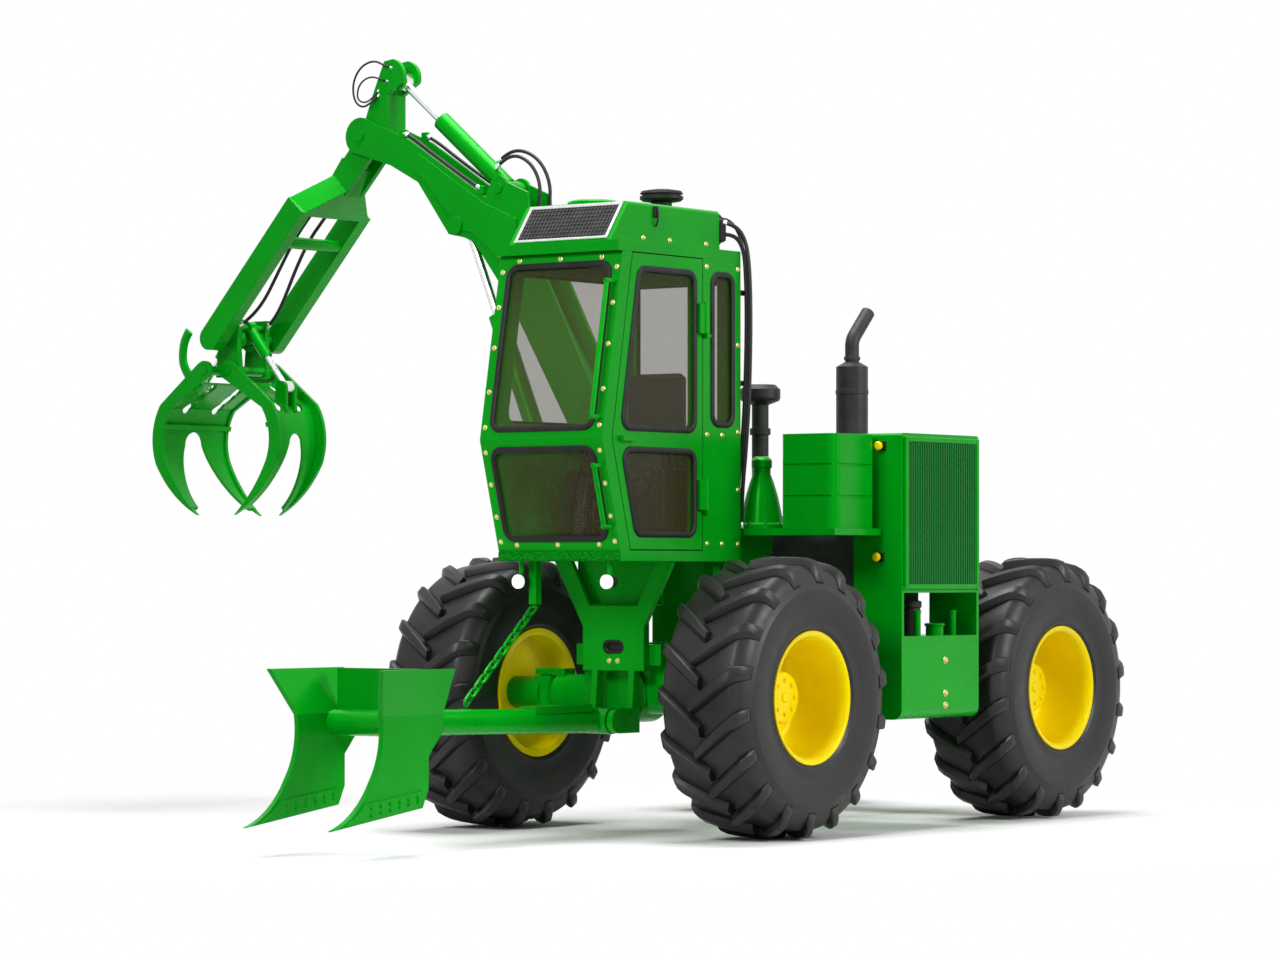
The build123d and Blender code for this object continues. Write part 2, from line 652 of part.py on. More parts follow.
def roof_grille():
    """Mesh panel lying on the unit's slope."""
    slope = math.hypot(UNIT_FRONT - UNIT_SLOPE, UNIT_H)
    tilt = math.degrees(math.atan2(UNIT_H, UNIT_FRONT - UNIT_SLOPE))
    panel = Pos(0, 0, GRILLE_T / 3) * Box(slope - 40, 2 * UNIT_HALF - 80, 2 * GRILLE_T / 3)
    middle = Pos((UNIT_FRONT + UNIT_SLOPE) / 2, 0, (ROOF_TOP + UNIT_TOP) / 2)
    return middle * Rot(0, tilt, 0) * panel


def roof_precleaner():
    """Mushroom pre-cleaner with a grooved edge."""
    r = CLEANER_R
    return turned(UNIT_REAR + 230, 120, UNIT_TOP, [
        (60, 0), (60, 42), (r - 15, 50), (r, 62), (r, 78), (r - 14, 82), (r - 14, 88), (r, 92),
        (r - 10, 108), (r - 70, 118)])


def seat():
    """Seat box with a back."""
    x0, x1 = CAB_REAR + 175, CAB_REAR + 615
    body = block(x0, x1, -SEAT_HALF, SEAT_HALF, CAB_Z0, CAB_Z0 + SEAT_H)
    return body + block(x0, x0 + SEAT_BACK_T, -SEAT_HALF, SEAT_HALF, CAB_Z0 + SEAT_H - 10, CAB_Z0 + SEAT_BACK_H)


def control_column():
    """Column with a steering wheel."""
    x, z = CAB_REAR + CAB_LEN_LOW - COLUMN_BACK, CAB_Z0
    body = block(x - 60, x + 60, -60, 60, z, z + 30) + rod((x, 0, z + 20), (x - 120, 0, z + 640), 35)
    return body + rod((x - 114, 0, z + 610), (x - 124, 0, z + 640), 180)


ENGINE = (DECK_X0 + 35, DECK_X1 - 115, -DECK_RIGHT + 30, SIDE_Y - 400, DECK_Z, DECK_Z + ENGINE_H)


def radiator_housing():
    """Deep housing open to the left, with plates down to the deck."""
    inner, z0 = SIDE_Y - RADIATOR_DEEP, DECK_Z + RADIATOR_RISE
    body = block(DECK_X0, DECK_X1, inner, SIDE_Y, z0, z0 + RADIATOR_H)
    body = fillet(body.edges().filter_by(Axis.Y).sort_by(Axis.Z)[-2:], UNIT_FILLET)
    for x in (DECK_X0, DECK_X1 - SKIRT_T):
        body += block(x, x + SKIRT_T, inner, SIDE_Y, DECK_Z, z0 + 1)
    return body


def radiator_grille():
    """Grille of upright ribs on a backing plate."""
    x0, x1 = DECK_X0 + GRILLE_EDGE, DECK_X1 - GRILLE_EDGE
    z0 = DECK_Z + RADIATOR_RISE + GRILLE_EDGE
    z1 = z0 + RADIATOR_H - 2 * GRILLE_EDGE
    pitch = (x1 - x0) / GRILLE_RIBS
    ribs = []
    for i in range(GRILLE_RIBS):
        x = x0 + (i + 0.25) * pitch
        ribs.append(block(x, x + pitch / 2, SIDE_Y + 5, SIDE_Y + GRILLE_T, z0, z1))
    return block(x0, x1, SIDE_Y, SIDE_Y + 6, z0, z1) + ribs


def ribbed_tank():
    """Tank of three bands, with grooves between them and rounded upright corners."""
    x0, y0, z0 = RIB_TANK_X, RIB_TANK_Y, RIB_TANK_Z
    x1, y1, z1 = x0 + RIB_TANK_LEN, y0 + RIB_TANK_W, z0 + RIB_TANK_H
    body = fillet(block(x0, x1, y0, y1, z0, z1).edges().filter_by(Axis.Z), TANK_FILLET)
    inset = RIB_DEEP
    for i in (1, 2):
        z = z0 + i * RIB_TANK_H / 3
        ring = block(x0 - 1, x1 + 1, y0 - 1, y1 + 1, z - RIB_GROOVE / 2, z + RIB_GROOVE / 2)
        body -= ring - block(x0 + inset, x1 - inset, y0 + inset, y1 - inset, z - RIB_GROOVE, z + RIB_GROOVE)
    return body


def fuel_tank():
    """Tank under the deck, with rounded lower edges."""
    body = block(DECK_X0, DECK_X1, TRACK_HALF - TANK_IN, SIDE_Y, RAIL_Z1 - TANK_H, RAIL_Z1)
    return fillet(body.edges().filter_by(Axis.X).sort_by(Axis.Z)[:2], TANK_FILLET)


def muffler():
    """Muffler standing on the engine, with a pipe that bends to the rear."""
    x, y, z = DECK_X0 + 250, ENGINE[2] + 870, ENGINE[5]
    body = turned(x, y, z, [(50, 0), (50, 60), (MUFFLER_R, 90), (MUFFLER_R, 890), (PIPE_R, 920)])
    bend = FilletPolyline((x, y, z + 919), (x, y, z + 1050), (x - 170, y, z + 1220), radius=90)
    return body + sweep(Plane(origin=(x, y, z + 919), z_dir=(0, 0, 1)) * Circle(PIPE_R), path=bend)


def air_intake():
    """Intake stack with clamps and a mushroom cap."""
    x, y = DECK_X1 - 185, ENGINE[2] + 480
    return turned(x, y, ENGINE[5], [
        (50, 0), (50, 480), (62, 484), (62, 520), (50, 524), (50, 660), (112, 684), (120, 700), (120, 752),
        (90, 780)])


def mast():
    """Slewing post: turntable, two side plates reaching out to the lift cylinder's pin, boom foot pin."""
    inner = BOOM_HALF + GAP
    body = bar_z(MAST_X, MAST_Y, MAST_R, MAST_Z + SEAT, MAST_Z + 80)
    side = [(-150, 70), (400, 70), ((540, 150), (440, 250)), (150, 540), (-100, 540), (-150, 460)]
    base = [(-150, 70), (400, 70), (400, 95), (-150, 95)]
    body += both(lambda *off: arm_plate(side, *off), inner, inner + PLATE)
    body += arm_plate(base, -inner - 1, inner + 1)
    return body + [arm_bar(p, PIN_R, -inner - PLATE, inner + PLATE) for p in (FOOT, LIFT_BASE)]


BOOM_SIDE = [(130, 340), (777, 1442), (1032, 1773), (1110, 1805), (1230, 1830), (1473, 2160), (1690, 2275),
             (2004, 2374), ((2036, 2534), (1876, 2566)), (1548, 2426), (944, 2041), (905, 2125),
             ((845, 2165), (785, 2125)), (623, 2055), (601, 1766), (-70, 480)]
BOOM_WEB = [(130, 530), (640, 1290), (800, 1610), (966, 1901), (1546, 2281), (1506, 2321), (886, 1921),
            (50, 610)]
BOOM_DOUBLER = [(690, 1560), (1040, 1830), (1130, 1850), (1440, 2190), ((1505, 2262), (1465, 2335)),
                (960, 2010), (700, 1900)]


def boom():
    """Bent boom: two side plates with doublers, a web, foot boss, eye bosses and pins."""
    inner = BOOM_HALF - PLATE
    body = arm_plate(BOOM_WEB, -inner - 1, inner + 1)
    body += both(lambda *off: arm_plate(BOOM_SIDE, *off), inner, BOOM_HALF)
    body += both(lambda *off: arm_plate(BOOM_DOUBLER, *off), BOOM_HALF - 1, BOOM_HALF + DOUBLER_T)
    body += both(lambda *off: arm_bar(FOOT, 115, *off), inner, BOOM_HALF)
    body += arm_bar(FOOT, 70, -BOOM_HALF, BOOM_HALF)
    body -= arm_bar(FOOT, PIN_R + FIT, -BOOM_HALF - 1, BOOM_HALF + 1)
    body += both(lambda *off: arm_bar(LIFT_EYE, EYE_R, *off), EYE_HALF + SEAT, BOOM_HALF + 2 * DOUBLER_T)
    reach = BOOM_HALF + DOUBLER_T
    return body + [arm_bar(p, PIN_R, -reach, reach) for p in (STICK_BASE, ELBOW)]


def cylinder(base, eye, half, size):
    """A hydraulic cylinder's barrel, turning on its pin, and its rod with an open eye.

    size gives the barrel's length, where the rod starts, and the radii of barrel, rod, eye and pin."""
    barrel_len, rod_start, r_barrel, r_rod, r_eye, r_pin = size
    a, b = arm_point(base), arm_point(eye)
    barrel = rod(along(a, b, r_eye / 2), along(a, b, barrel_len), r_barrel)
    barrel += arm_bar(base, r_eye, -half, half)
    barrel -= rod(along(a, b, r_pin + 10), along(a, b, barrel_len + 1), r_rod + FIT)
    barrel -= arm_bar(base, r_pin + FIT, -half - 1, half + 1)
    shaft = rod(along(a, b, rod_start), along(a, b, math.dist(a, b)), r_rod)
    shaft += arm_bar(eye, r_eye, -EYE_HALF, EYE_HALF)
    return barrel, shaft - arm_bar(eye, r_eye - EYE_WALL, -EYE_HALF - 1, EYE_HALF + 1)


HEAD = BOOM_HALF - PLATE - GAP
STICK_CHEEK = [(1745, 2450), (1745, 2720), (1622, 2795), ((1630, 2880), (1700, 2935)), (1770, 2925),
               (1850, 2750), (1915, 2590), (1988, 2465), (2192, 2240), (2210, 2220), (2090, 2110), (1880, 2340)]
STICK_BACK = [(1745, 2450), (1770, 2450), (1770, 2725), (1745, 2725)]
STICK_BOX = [(1990, 2270), (2110, 2350), (2210, 2220), (2090, 2110)]
FLARE_TOP, FLARE_LOW = (2125, 2190), (2300, 2035)
FLARE_DEEP = 75
CROSS_TUBE = (2440, 1830)


def stick():
    """Stick: box head with a tail for the cylinder, flaring to a fork of two rails."""
    way = Vector(0, FLARE_TOP[0] - FLARE_LOW[0], FLARE_LOW[1] - FLARE_TOP[1])
    outer = RAIL_HALF + RAIL_W / 2
    sections = [Plane(origin=arm_point(p), x_dir=(1, 0, 0), z_dir=way) * Rectangle(2 * half, 2 * FLARE_DEEP)
                for p, half in ((FLARE_TOP, HEAD), (FLARE_LOW, outer))]
    body = loft(sections, ruled=True)
    body += arm_plate(STICK_BOX, -HEAD, HEAD)
    body += both(lambda *off: arm_plate(STICK_CHEEK, *off), CHEEK_IN, HEAD)
    body += arm_plate(STICK_BACK, -CHEEK_IN - 1, CHEEK_IN + 1)
    body += both(lambda *off: arm_bar(STICK_EYE, EYE_R, *off), EYE_HALF + SEAT, CHEEK_IN + 1)
    body += arm_bar(ELBOW, 90, -HEAD, HEAD)
    length = math.dist(FLARE_LOW, TIP)
    run = ((TIP[0] - FLARE_LOW[0]) / length, (TIP[1] - FLARE_LOW[1]) / length)

    def rail_point(start, ahead, up):
        return (start[0] + run[0] * ahead - run[1] * up, start[1] + run[1] * ahead + run[0] * up)

    rail = [rail_point(FLARE_LOW, -20, FLARE_DEEP), rail_point(TIP, 0, FLARE_DEEP),
            (rail_point(TIP, RAIL_END_R, 0), rail_point(TIP, 0, -FLARE_DEEP)),
            rail_point(FLARE_LOW, -20, -FLARE_DEEP)]
    body += both(lambda *off: arm_plate(rail, *off), RAIL_HALF - RAIL_W / 2, outer)
    body += arm_bar(CROSS_TUBE, 38, -RAIL_HALF, RAIL_HALF)
    body -= arm_bar(ELBOW, PIN_R + FIT, -HEAD - 1, HEAD + 1)
    return body + arm_bar(TIP, PIN_R, -RAIL_HALF, RAIL_HALF)


def grapple_head():
    """Head of two plates hanging on the stick's pin, with a bar for each jaw's hinge."""
    plate = [(-100, 125), (100, 125), (78, 0), (100, -JAW_DROP - 40), (-100, -JAW_DROP - 40), (-78, 0)]
    body = None
    for off in both(lambda *off: off, HEAD_HALF - HEAD_PLATE, HEAD_HALF):
        cheek = arm_plate(plate, *off, at=TIP)
        body = cheek if body is None else body + cheek
    body += both(lambda *off: arm_bar(TIP, 75, *off), HEAD_IN, HEAD_HALF)
    for s in (-1, 1):
        half = JAW_HALF[s] + GAP
        body += arm_bar((TIP[0] + s * JAW_SPREAD, JAW_Z), JAW_PIN_R, -half, half)
        body += arm_bar(jaw_ends(s)[0], JAW_CYL_PIN_R, -HEAD_HALF, HEAD_HALF)
    return body - arm_bar(TIP, PIN_R + FIT, -HEAD_HALF - 1, HEAD_HALF + 1)


# A jaw's outlines about its hinge, outward and down
JAW_FLANK = [(45, 45), (372, -210), ((440, -430), (410, -590)), ((300, -740), (58, -915)),
             ((235, -725), (325, -575)), ((352, -420), (290, -240)), (-40, -45)]
JAW_WEB = [(50, -85), (302, -235), ((364, -418), (337, -578)), ((247, -732), (110, -865)), (118, -882),
           ((262, -745), (353, -585)), ((380, -418), (316, -226)), (62, -72)]
JAW_RIDGE = [(322, -335), (360, -335), (366, -365), (328, -365)]
JAW_EAR = [(258, -110), ((300, -68), (342, -110)), (345, -262), (250, -205)]
JAW_NOTCH_Z = -460
JAW_HOLES = (-120, -170, -225)


def jaw(side):
    """Jaw: two pointed flanks joined by a curved web with holes and a notch; side +1 is the outer jaw."""
    hinge = (TIP[0] + side * JAW_SPREAD, JAW_Z)
    half = JAW_HALF[side]
    inner = half - TINE_T
    body = arm_plate(JAW_WEB, -half, half, hinge, side)
    arch = 0.29 * inner
    notch = [(-arch, JAW_NOTCH_Z), ((0, JAW_NOTCH_Z + arch), (arch, JAW_NOTCH_Z)), (0.44 * inner, -570),
             (0.92 * inner, -930), (-0.92 * inner, -930), (-0.44 * inner, -570)]
    y0, y1 = sorted(MAST_Y - hinge[0] - side * r for r in (40, 470))
    body -= side_plate(placed(notch, (MAST_X, MAST_Z + JAW_Z)), y0, y1)
    for dz in JAW_HOLES:
        for s in (-1, 1):
            body -= bar_y(MAST_X + s * 0.48 * inner, MAST_Z + JAW_Z + dz, JAW_HOLE_R, y0, y1)
    body += arm_plate(JAW_RIDGE, -half, half, hinge, side)
    body += both(lambda *off: arm_plate(JAW_FLANK, *off, at=hinge, side=side), inner, half)
    body += both(lambda *off: arm_bar(hinge, 60, *off), inner, half)
    body += both(lambda *off: arm_plate(JAW_EAR, *off, at=hinge, side=side),
                 EYE_HALF + SEAT, EYE_HALF + TINE_T)
    return body - arm_bar(hinge, JAW_PIN_R + FIT, -half - 1, half + 1)


def jaw_ends(side):
    """Base pin and rod eye of a jaw's cylinder."""
    return ((TIP[0] + side * JAW_BASE[0], TIP[1] + JAW_BASE[1]),
            (TIP[0] + side * (JAW_SPREAD + JAW_EYE[0]), JAW_Z + JAW_EYE[1]))


# A piler tine's blade about the pivot, forward and up, and the reach of its flared top
PILER_BLADE = [(1760, 90), (2260, 90), ((2258, -60), (2340, -252)), ((2460, -390), (2670, -492)),
               (1930, -400), (1880, -300), (1880, -130), (1760, 0)]
PILER_WEAR = [(1945, -392), (2560, -468), ((2470, -420), (2410, -360)), (1945, -310)]
FLARE_LOW_X, FLARE_TOP_X, FLARE_H = (1760, 2260), (1775, 2369), 240
CROSS_X, CROSS_RISE = 1960, 40


def flared_top(side):
    """The part of a tine above its crease, leaning out and forward."""
    mid = TINE_Y + PILER_TINE_T / 2
    sections = []
    for (x0, x1), out, dz in ((FLARE_LOW_X, 0, 89), (FLARE_TOP_X, FLARE_OUT, 90 + FLARE_H)):
        plane = Plane.XY.offset(PIVOT_Z + dz)
        middle = Pos(PIVOT_X + (x0 + x1) / 2, side * (mid + out))
        sections.append(plane * middle * Rectangle(x1 - x0, PILER_TINE_T))
    return loft(sections, ruled=True)


def piler():
    """Piler: arm on its pivot, cross tube, back plate and two curved tines with flared tops."""
    z = PIVOT_Z + CROSS_RISE
    body = rod((PIVOT_X, 0, PIVOT_Z), (PIVOT_X + CROSS_X, 0, z), PILER_ARM_R)
    body += bar_y(PIVOT_X, PIVOT_Z, PIVOT_EAR_H + 5, -PIVOT_EAR_IN + 10, PIVOT_EAR_IN - 10)
    body += block(PIVOT_X + 133, PIVOT_X + 650, -60, 60, PIVOT_Z + 55, PIVOT_Z + 95)
    body += bar_y(PIVOT_X + CROSS_X, z, PILER_ARM_R, -TINE_Y - 1, TINE_Y + 1)
    body += block(PIVOT_X + CROSS_X - 50, PIVOT_X + CROSS_X - 20, -TINE_Y - 1, TINE_Y + 1,
                  z, PIVOT_Z + 90 + FLARE_H)
    for s in (-1, 1):
        y0, y1 = sorted((s * TINE_Y, s * (TINE_Y + PILER_TINE_T)))
        body += side_plate(placed(PILER_BLADE, (PIVOT_X, PIVOT_Z)), y0, y1)
        body += side_plate(placed(PILER_WEAR, (PIVOT_X, PIVOT_Z)), y0 - WEAR_T, y1 + WEAR_T)
        body += flared_top(s)
    x, y, _ = CHAIN_END
    low = CHAIN[-1].bounding_box().min.Z
    body += block(x - CHAIN_LUG, x + CHAIN_LUG, y - CHAIN_LUG, y + CHAIN_LUG, PIVOT_Z, low - SEAT)
    return body - bar_y(PIVOT_X, PIVOT_Z, PIN_R + FIT, -PIVOT_EAR_OUT, PIVOT_EAR_OUT)


def build():
    """Every node by name."""
    nodes = {"main_frame": main_frame(), "nose_frame": nose_frame(), "front_axle": front_axle(),
             "rear_axle": rear_axle()}
    tyre_shape, rim_shape = tyre(), rim()
    for end, x in (("front", FRONT_X), ("rear", REAR_X)):
        for name, side in (("left", 1), ("right", -1)):
            nodes[f"tyre_{end}_{name}"] = at_wheel(tyre_shape, x, side)
            nodes[f"rim_{end}_{name}"] = at_wheel(rim_shape, x, side)
    for name, side in (("left", 1), ("right", -1)):
        nodes[f"knuckle_{name}"] = knuckle(side)
    nodes["cab_floor"] = cab_floor()
    nodes["cab_front"] = cab_front()
    nodes["cab_left"], nodes["cab_right"] = cab_sides()
    nodes["cab_rear"] = cab_rear()
    nodes["cab_roof"] = block(CAB_REAR, CAB_REAR + CAB_LEN_TOP + ROOF_LIP, -CAB_HALF_W, CAB_HALF_W,
                              CAB_Z1, ROOF_TOP)
    nodes["cab_glass"] = cab_glass()
    nodes["door"] = door()
    nodes["door_glass"] = Compound([side_pane(door_window(*z), 1) for z in DOOR_WINDOWS])
    nodes["roof_unit"] = roof_unit()
    nodes["roof_grille"] = roof_grille()
    nodes["roof_precleaner"] = roof_precleaner()
    nodes["seat"] = seat()
    nodes["control_column"] = control_column()
    nodes["engine_block"] = block(*ENGINE)
    nodes["radiator_housing"] = radiator_housing()
    nodes["radiator_grille"] = radiator_grille()
    nodes["ribbed_tank"] = ribbed_tank()
    nodes["fuel_tank"] = fuel_tank()
    nodes["muffler"] = muffler()
    nodes["air_intake"] = air_intake()
    nodes["headlamps"] = headlamps()
    nodes["mast"] = mast()
    nodes["boom"] = boom()
    nodes["lift_barrel"], nodes["lift_rod"] = cylinder(
        LIFT_BASE, LIFT_EYE, BARREL_HALF, (1264, 700, BARREL_R, ROD_R, EYE_R, PIN_R))
    nodes["stick"] = stick()
    nodes["stick_barrel"], nodes["stick_rod"] = cylinder(
        STICK_BASE, STICK_EYE, BARREL_HALF, (700, 385, BARREL_R, ROD_R, EYE_R, PIN_R))
    nodes["grapple_head"] = grapple_head()
    for name, side in (("outer", 1), ("inner", -1)):
        nodes[f"jaw_{name}"] = jaw(side)
        nodes[f"jaw_{name}_barrel"], nodes[f"jaw_{name}_rod"] = cylinder(
            *jaw_ends(side), EYE_HALF, (240, 150, JAW_BARREL_R, JAW_ROD_R, JAW_EYE_R, JAW_CYL_PIN_R))
    nodes["piler"] = piler()
    nodes["chain"] = Compound(CHAIN)
    return nodes


os.makedirs("parts", exist_ok=True)
for node, shape in build().items():
    export_step(shape, f"parts/{node}.step")
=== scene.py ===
"""Looks of the sugarcane loader: finishes, wheels, window seals, hoses, bolts, cab fittings and the stage."""

import json
import math

import bpy
from mathutils import Matrix, Vector
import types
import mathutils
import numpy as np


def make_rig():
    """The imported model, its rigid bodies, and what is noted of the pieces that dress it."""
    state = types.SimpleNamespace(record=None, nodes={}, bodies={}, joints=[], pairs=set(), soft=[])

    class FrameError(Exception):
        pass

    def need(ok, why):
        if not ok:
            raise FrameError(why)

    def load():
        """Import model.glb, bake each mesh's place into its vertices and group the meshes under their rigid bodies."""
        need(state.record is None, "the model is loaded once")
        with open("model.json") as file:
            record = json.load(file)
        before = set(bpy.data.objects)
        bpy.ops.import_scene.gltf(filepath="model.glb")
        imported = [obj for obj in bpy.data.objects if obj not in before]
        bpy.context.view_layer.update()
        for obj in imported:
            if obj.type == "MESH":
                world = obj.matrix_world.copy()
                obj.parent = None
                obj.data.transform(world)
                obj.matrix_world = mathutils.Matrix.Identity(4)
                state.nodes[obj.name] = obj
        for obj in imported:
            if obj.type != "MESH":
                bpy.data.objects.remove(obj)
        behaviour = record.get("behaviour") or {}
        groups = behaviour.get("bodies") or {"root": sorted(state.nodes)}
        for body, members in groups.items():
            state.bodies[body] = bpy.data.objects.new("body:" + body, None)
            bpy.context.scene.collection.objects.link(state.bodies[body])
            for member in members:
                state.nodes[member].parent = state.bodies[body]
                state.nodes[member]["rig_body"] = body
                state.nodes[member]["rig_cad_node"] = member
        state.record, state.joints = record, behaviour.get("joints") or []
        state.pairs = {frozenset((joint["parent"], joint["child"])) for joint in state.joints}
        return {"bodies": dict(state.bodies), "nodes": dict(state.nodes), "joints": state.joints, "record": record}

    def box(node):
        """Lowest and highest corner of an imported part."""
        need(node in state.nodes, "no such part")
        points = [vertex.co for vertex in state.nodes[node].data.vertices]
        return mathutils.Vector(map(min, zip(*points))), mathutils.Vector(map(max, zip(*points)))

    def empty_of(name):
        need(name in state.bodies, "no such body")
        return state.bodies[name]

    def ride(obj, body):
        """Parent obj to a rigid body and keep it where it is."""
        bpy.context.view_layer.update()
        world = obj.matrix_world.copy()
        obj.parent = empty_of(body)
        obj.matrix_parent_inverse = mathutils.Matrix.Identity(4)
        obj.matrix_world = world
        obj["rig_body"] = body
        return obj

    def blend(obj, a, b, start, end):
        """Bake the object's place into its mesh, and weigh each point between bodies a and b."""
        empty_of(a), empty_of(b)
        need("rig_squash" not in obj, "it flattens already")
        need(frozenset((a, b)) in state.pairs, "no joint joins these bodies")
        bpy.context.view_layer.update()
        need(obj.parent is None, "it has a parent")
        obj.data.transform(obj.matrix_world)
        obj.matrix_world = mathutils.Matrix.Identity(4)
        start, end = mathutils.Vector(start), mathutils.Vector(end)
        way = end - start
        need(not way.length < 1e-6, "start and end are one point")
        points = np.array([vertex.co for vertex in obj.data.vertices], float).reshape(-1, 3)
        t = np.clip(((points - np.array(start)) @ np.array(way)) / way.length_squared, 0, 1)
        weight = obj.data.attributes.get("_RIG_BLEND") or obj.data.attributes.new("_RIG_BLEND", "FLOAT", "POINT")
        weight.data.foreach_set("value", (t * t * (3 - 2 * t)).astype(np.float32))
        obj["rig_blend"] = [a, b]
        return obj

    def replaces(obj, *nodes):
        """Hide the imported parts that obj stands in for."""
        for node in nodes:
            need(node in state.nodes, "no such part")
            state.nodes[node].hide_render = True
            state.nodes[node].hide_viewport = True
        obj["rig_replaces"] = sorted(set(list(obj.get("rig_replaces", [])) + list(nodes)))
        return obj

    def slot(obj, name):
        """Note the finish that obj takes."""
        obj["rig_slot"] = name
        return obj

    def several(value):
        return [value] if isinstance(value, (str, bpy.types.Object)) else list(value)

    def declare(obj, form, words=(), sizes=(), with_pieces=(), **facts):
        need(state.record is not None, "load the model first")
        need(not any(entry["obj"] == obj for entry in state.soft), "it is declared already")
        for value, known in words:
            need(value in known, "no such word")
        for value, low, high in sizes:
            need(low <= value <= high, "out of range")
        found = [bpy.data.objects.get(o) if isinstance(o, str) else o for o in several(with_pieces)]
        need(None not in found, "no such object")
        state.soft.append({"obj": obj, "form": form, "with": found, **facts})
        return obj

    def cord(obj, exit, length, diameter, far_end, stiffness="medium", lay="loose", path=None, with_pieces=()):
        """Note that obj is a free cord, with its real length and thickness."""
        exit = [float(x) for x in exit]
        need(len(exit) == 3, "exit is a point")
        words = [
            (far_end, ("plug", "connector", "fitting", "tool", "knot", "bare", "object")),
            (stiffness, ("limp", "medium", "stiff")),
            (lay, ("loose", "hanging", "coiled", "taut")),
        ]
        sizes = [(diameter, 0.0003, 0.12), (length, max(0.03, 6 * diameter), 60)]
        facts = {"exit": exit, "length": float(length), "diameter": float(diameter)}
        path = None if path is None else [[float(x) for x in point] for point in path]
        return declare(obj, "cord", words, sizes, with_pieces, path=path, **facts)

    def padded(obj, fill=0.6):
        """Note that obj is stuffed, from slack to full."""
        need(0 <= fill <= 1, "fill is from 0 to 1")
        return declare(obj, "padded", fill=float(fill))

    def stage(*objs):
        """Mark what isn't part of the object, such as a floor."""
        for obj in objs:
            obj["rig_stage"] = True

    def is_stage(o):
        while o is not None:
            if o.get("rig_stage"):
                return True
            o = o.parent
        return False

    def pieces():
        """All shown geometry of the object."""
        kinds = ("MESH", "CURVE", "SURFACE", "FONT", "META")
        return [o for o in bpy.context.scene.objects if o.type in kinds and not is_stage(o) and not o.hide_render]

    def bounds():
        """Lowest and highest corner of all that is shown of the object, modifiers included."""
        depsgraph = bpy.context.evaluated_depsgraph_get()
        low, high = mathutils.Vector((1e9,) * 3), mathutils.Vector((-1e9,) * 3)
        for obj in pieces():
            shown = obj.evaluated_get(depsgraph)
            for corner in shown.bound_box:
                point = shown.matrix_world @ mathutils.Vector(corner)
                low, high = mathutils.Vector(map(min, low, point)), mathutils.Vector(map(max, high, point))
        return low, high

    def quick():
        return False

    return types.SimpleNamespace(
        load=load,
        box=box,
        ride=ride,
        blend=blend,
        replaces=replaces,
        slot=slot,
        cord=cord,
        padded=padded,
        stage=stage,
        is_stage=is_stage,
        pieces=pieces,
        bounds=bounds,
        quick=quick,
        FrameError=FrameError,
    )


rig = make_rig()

bl_info = {
    "name": "Sugarcane loader looks",
    "version": (1, 1, 0),
    "blender": (4, 5, 0),
    "location": "3D View > Sidebar > Loader",
    "description": "Dresses the sugarcane loader's solids with finishes, wheels, hoses and fittings",
    "category": "Object",
}

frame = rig.load()
CAD_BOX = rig.bounds()
NODES = frame["nodes"]
SIDES = (("left", 1), ("right", -1))
WHEELS = [(end, side, sign) for end in ("front", "rear") for side, sign in SIDES]
UP = Vector((0, 0, 1))
AHEAD = Vector((1, 0, 0))
LEFT = Vector((0, 1, 0))


def colour_setting(name, description, default):
    """A colour of the panel."""
    return bpy.props.FloatVectorProperty(name=name, description=description, subtype="COLOR", size=3,
                                         min=0, max=1, default=default)


def length_setting(name, description, default):
    """A length of the panel, in metres."""
    return bpy.props.FloatProperty(name=name, description=description, default=default,
                                   unit="LENGTH", subtype="DISTANCE")


def count_setting(name, description, default, low, high):
    """A count of the panel."""
    return bpy.props.IntProperty(name=name, description=description, default=default, min=low, max=high)


class LoaderFinishes(bpy.types.PropertyGroup):
    """Colours of the machine's paints, rubber, metals and glass."""

    body_green: colour_setting("Body green", "Gloss paint of the body, boom and piler", (0.0, 0.315, 0.008))
    grille_green: colour_setting("Grille green", "Darker paint of the radiator's ribs", (0.004, 0.16, 0.02))
    wheel_yellow: colour_setting("Wheel yellow", "Gloss paint of the rims", (0.98, 0.74, 0.001))
    tyre_black: colour_setting("Tyre black", "Rubber of the tyres", (0.012, 0.0125, 0.0115))
    fitting_black: colour_setting("Fitting black", "Hoses, seals and caps", (0.012, 0.012, 0.012))
    exhaust_grey: colour_setting("Exhaust grey", "Heatproof coating of the muffler and engine",
                                 (0.028, 0.028, 0.027))
    bolt_zinc: colour_setting("Bolt zinc", "Yellow zinc of the bolts", (0.78, 0.66, 0.30))
    glass_tint: colour_setting("Glass tint", "Brown film on the panes", (0.095, 0.083, 0.036))


class LoaderWheels(bpy.types.PropertyGroup):
    """Tread and rims of the four wheels."""

    lugs_a_side: count_setting("Lugs a side", "Lugs on each half of the tread", 18, 8, 30)
    lug_width: length_setting("Lug width", "Width of a lug's top, round the tyre", 0.068)
    lug_flare: length_setting("Lug flare", "How much wider a lug is at its foot", 0.030)
    wheel_nuts: count_setting("Wheel nuts", "Nuts round each hub", 10, 4, 20)


class LoaderFittings(bpy.types.PropertyGroup):
    """Seals, links, bolts and hoses."""

    seal_width: length_setting("Seal width", "Width of the window seals", 0.036)
    seal_height: length_setting("Seal height", "How far a window seal stands up", 0.014)
    bolt_radius: length_setting("Bolt radius", "Half the width of a panel bolt's head", 0.011)
    link_wire: length_setting("Chain wire", "Half the thickness of a chain link's bar", 0.0085)
    hose_diameter: length_setting("Hose diameter", "Thickness of a pressure hose", 0.022)
    grille_ribs: count_setting("Grille ribs", "Upright ribs across the radiator's grille", 30, 8, 60)
    cushion_swell: length_setting("Cushion swell", "Most that a cushion's face may swell", 0.018)


def turns(count):
    """Angles evenly round a circle."""
    return [2 * math.pi * k / count for k in range(count)]


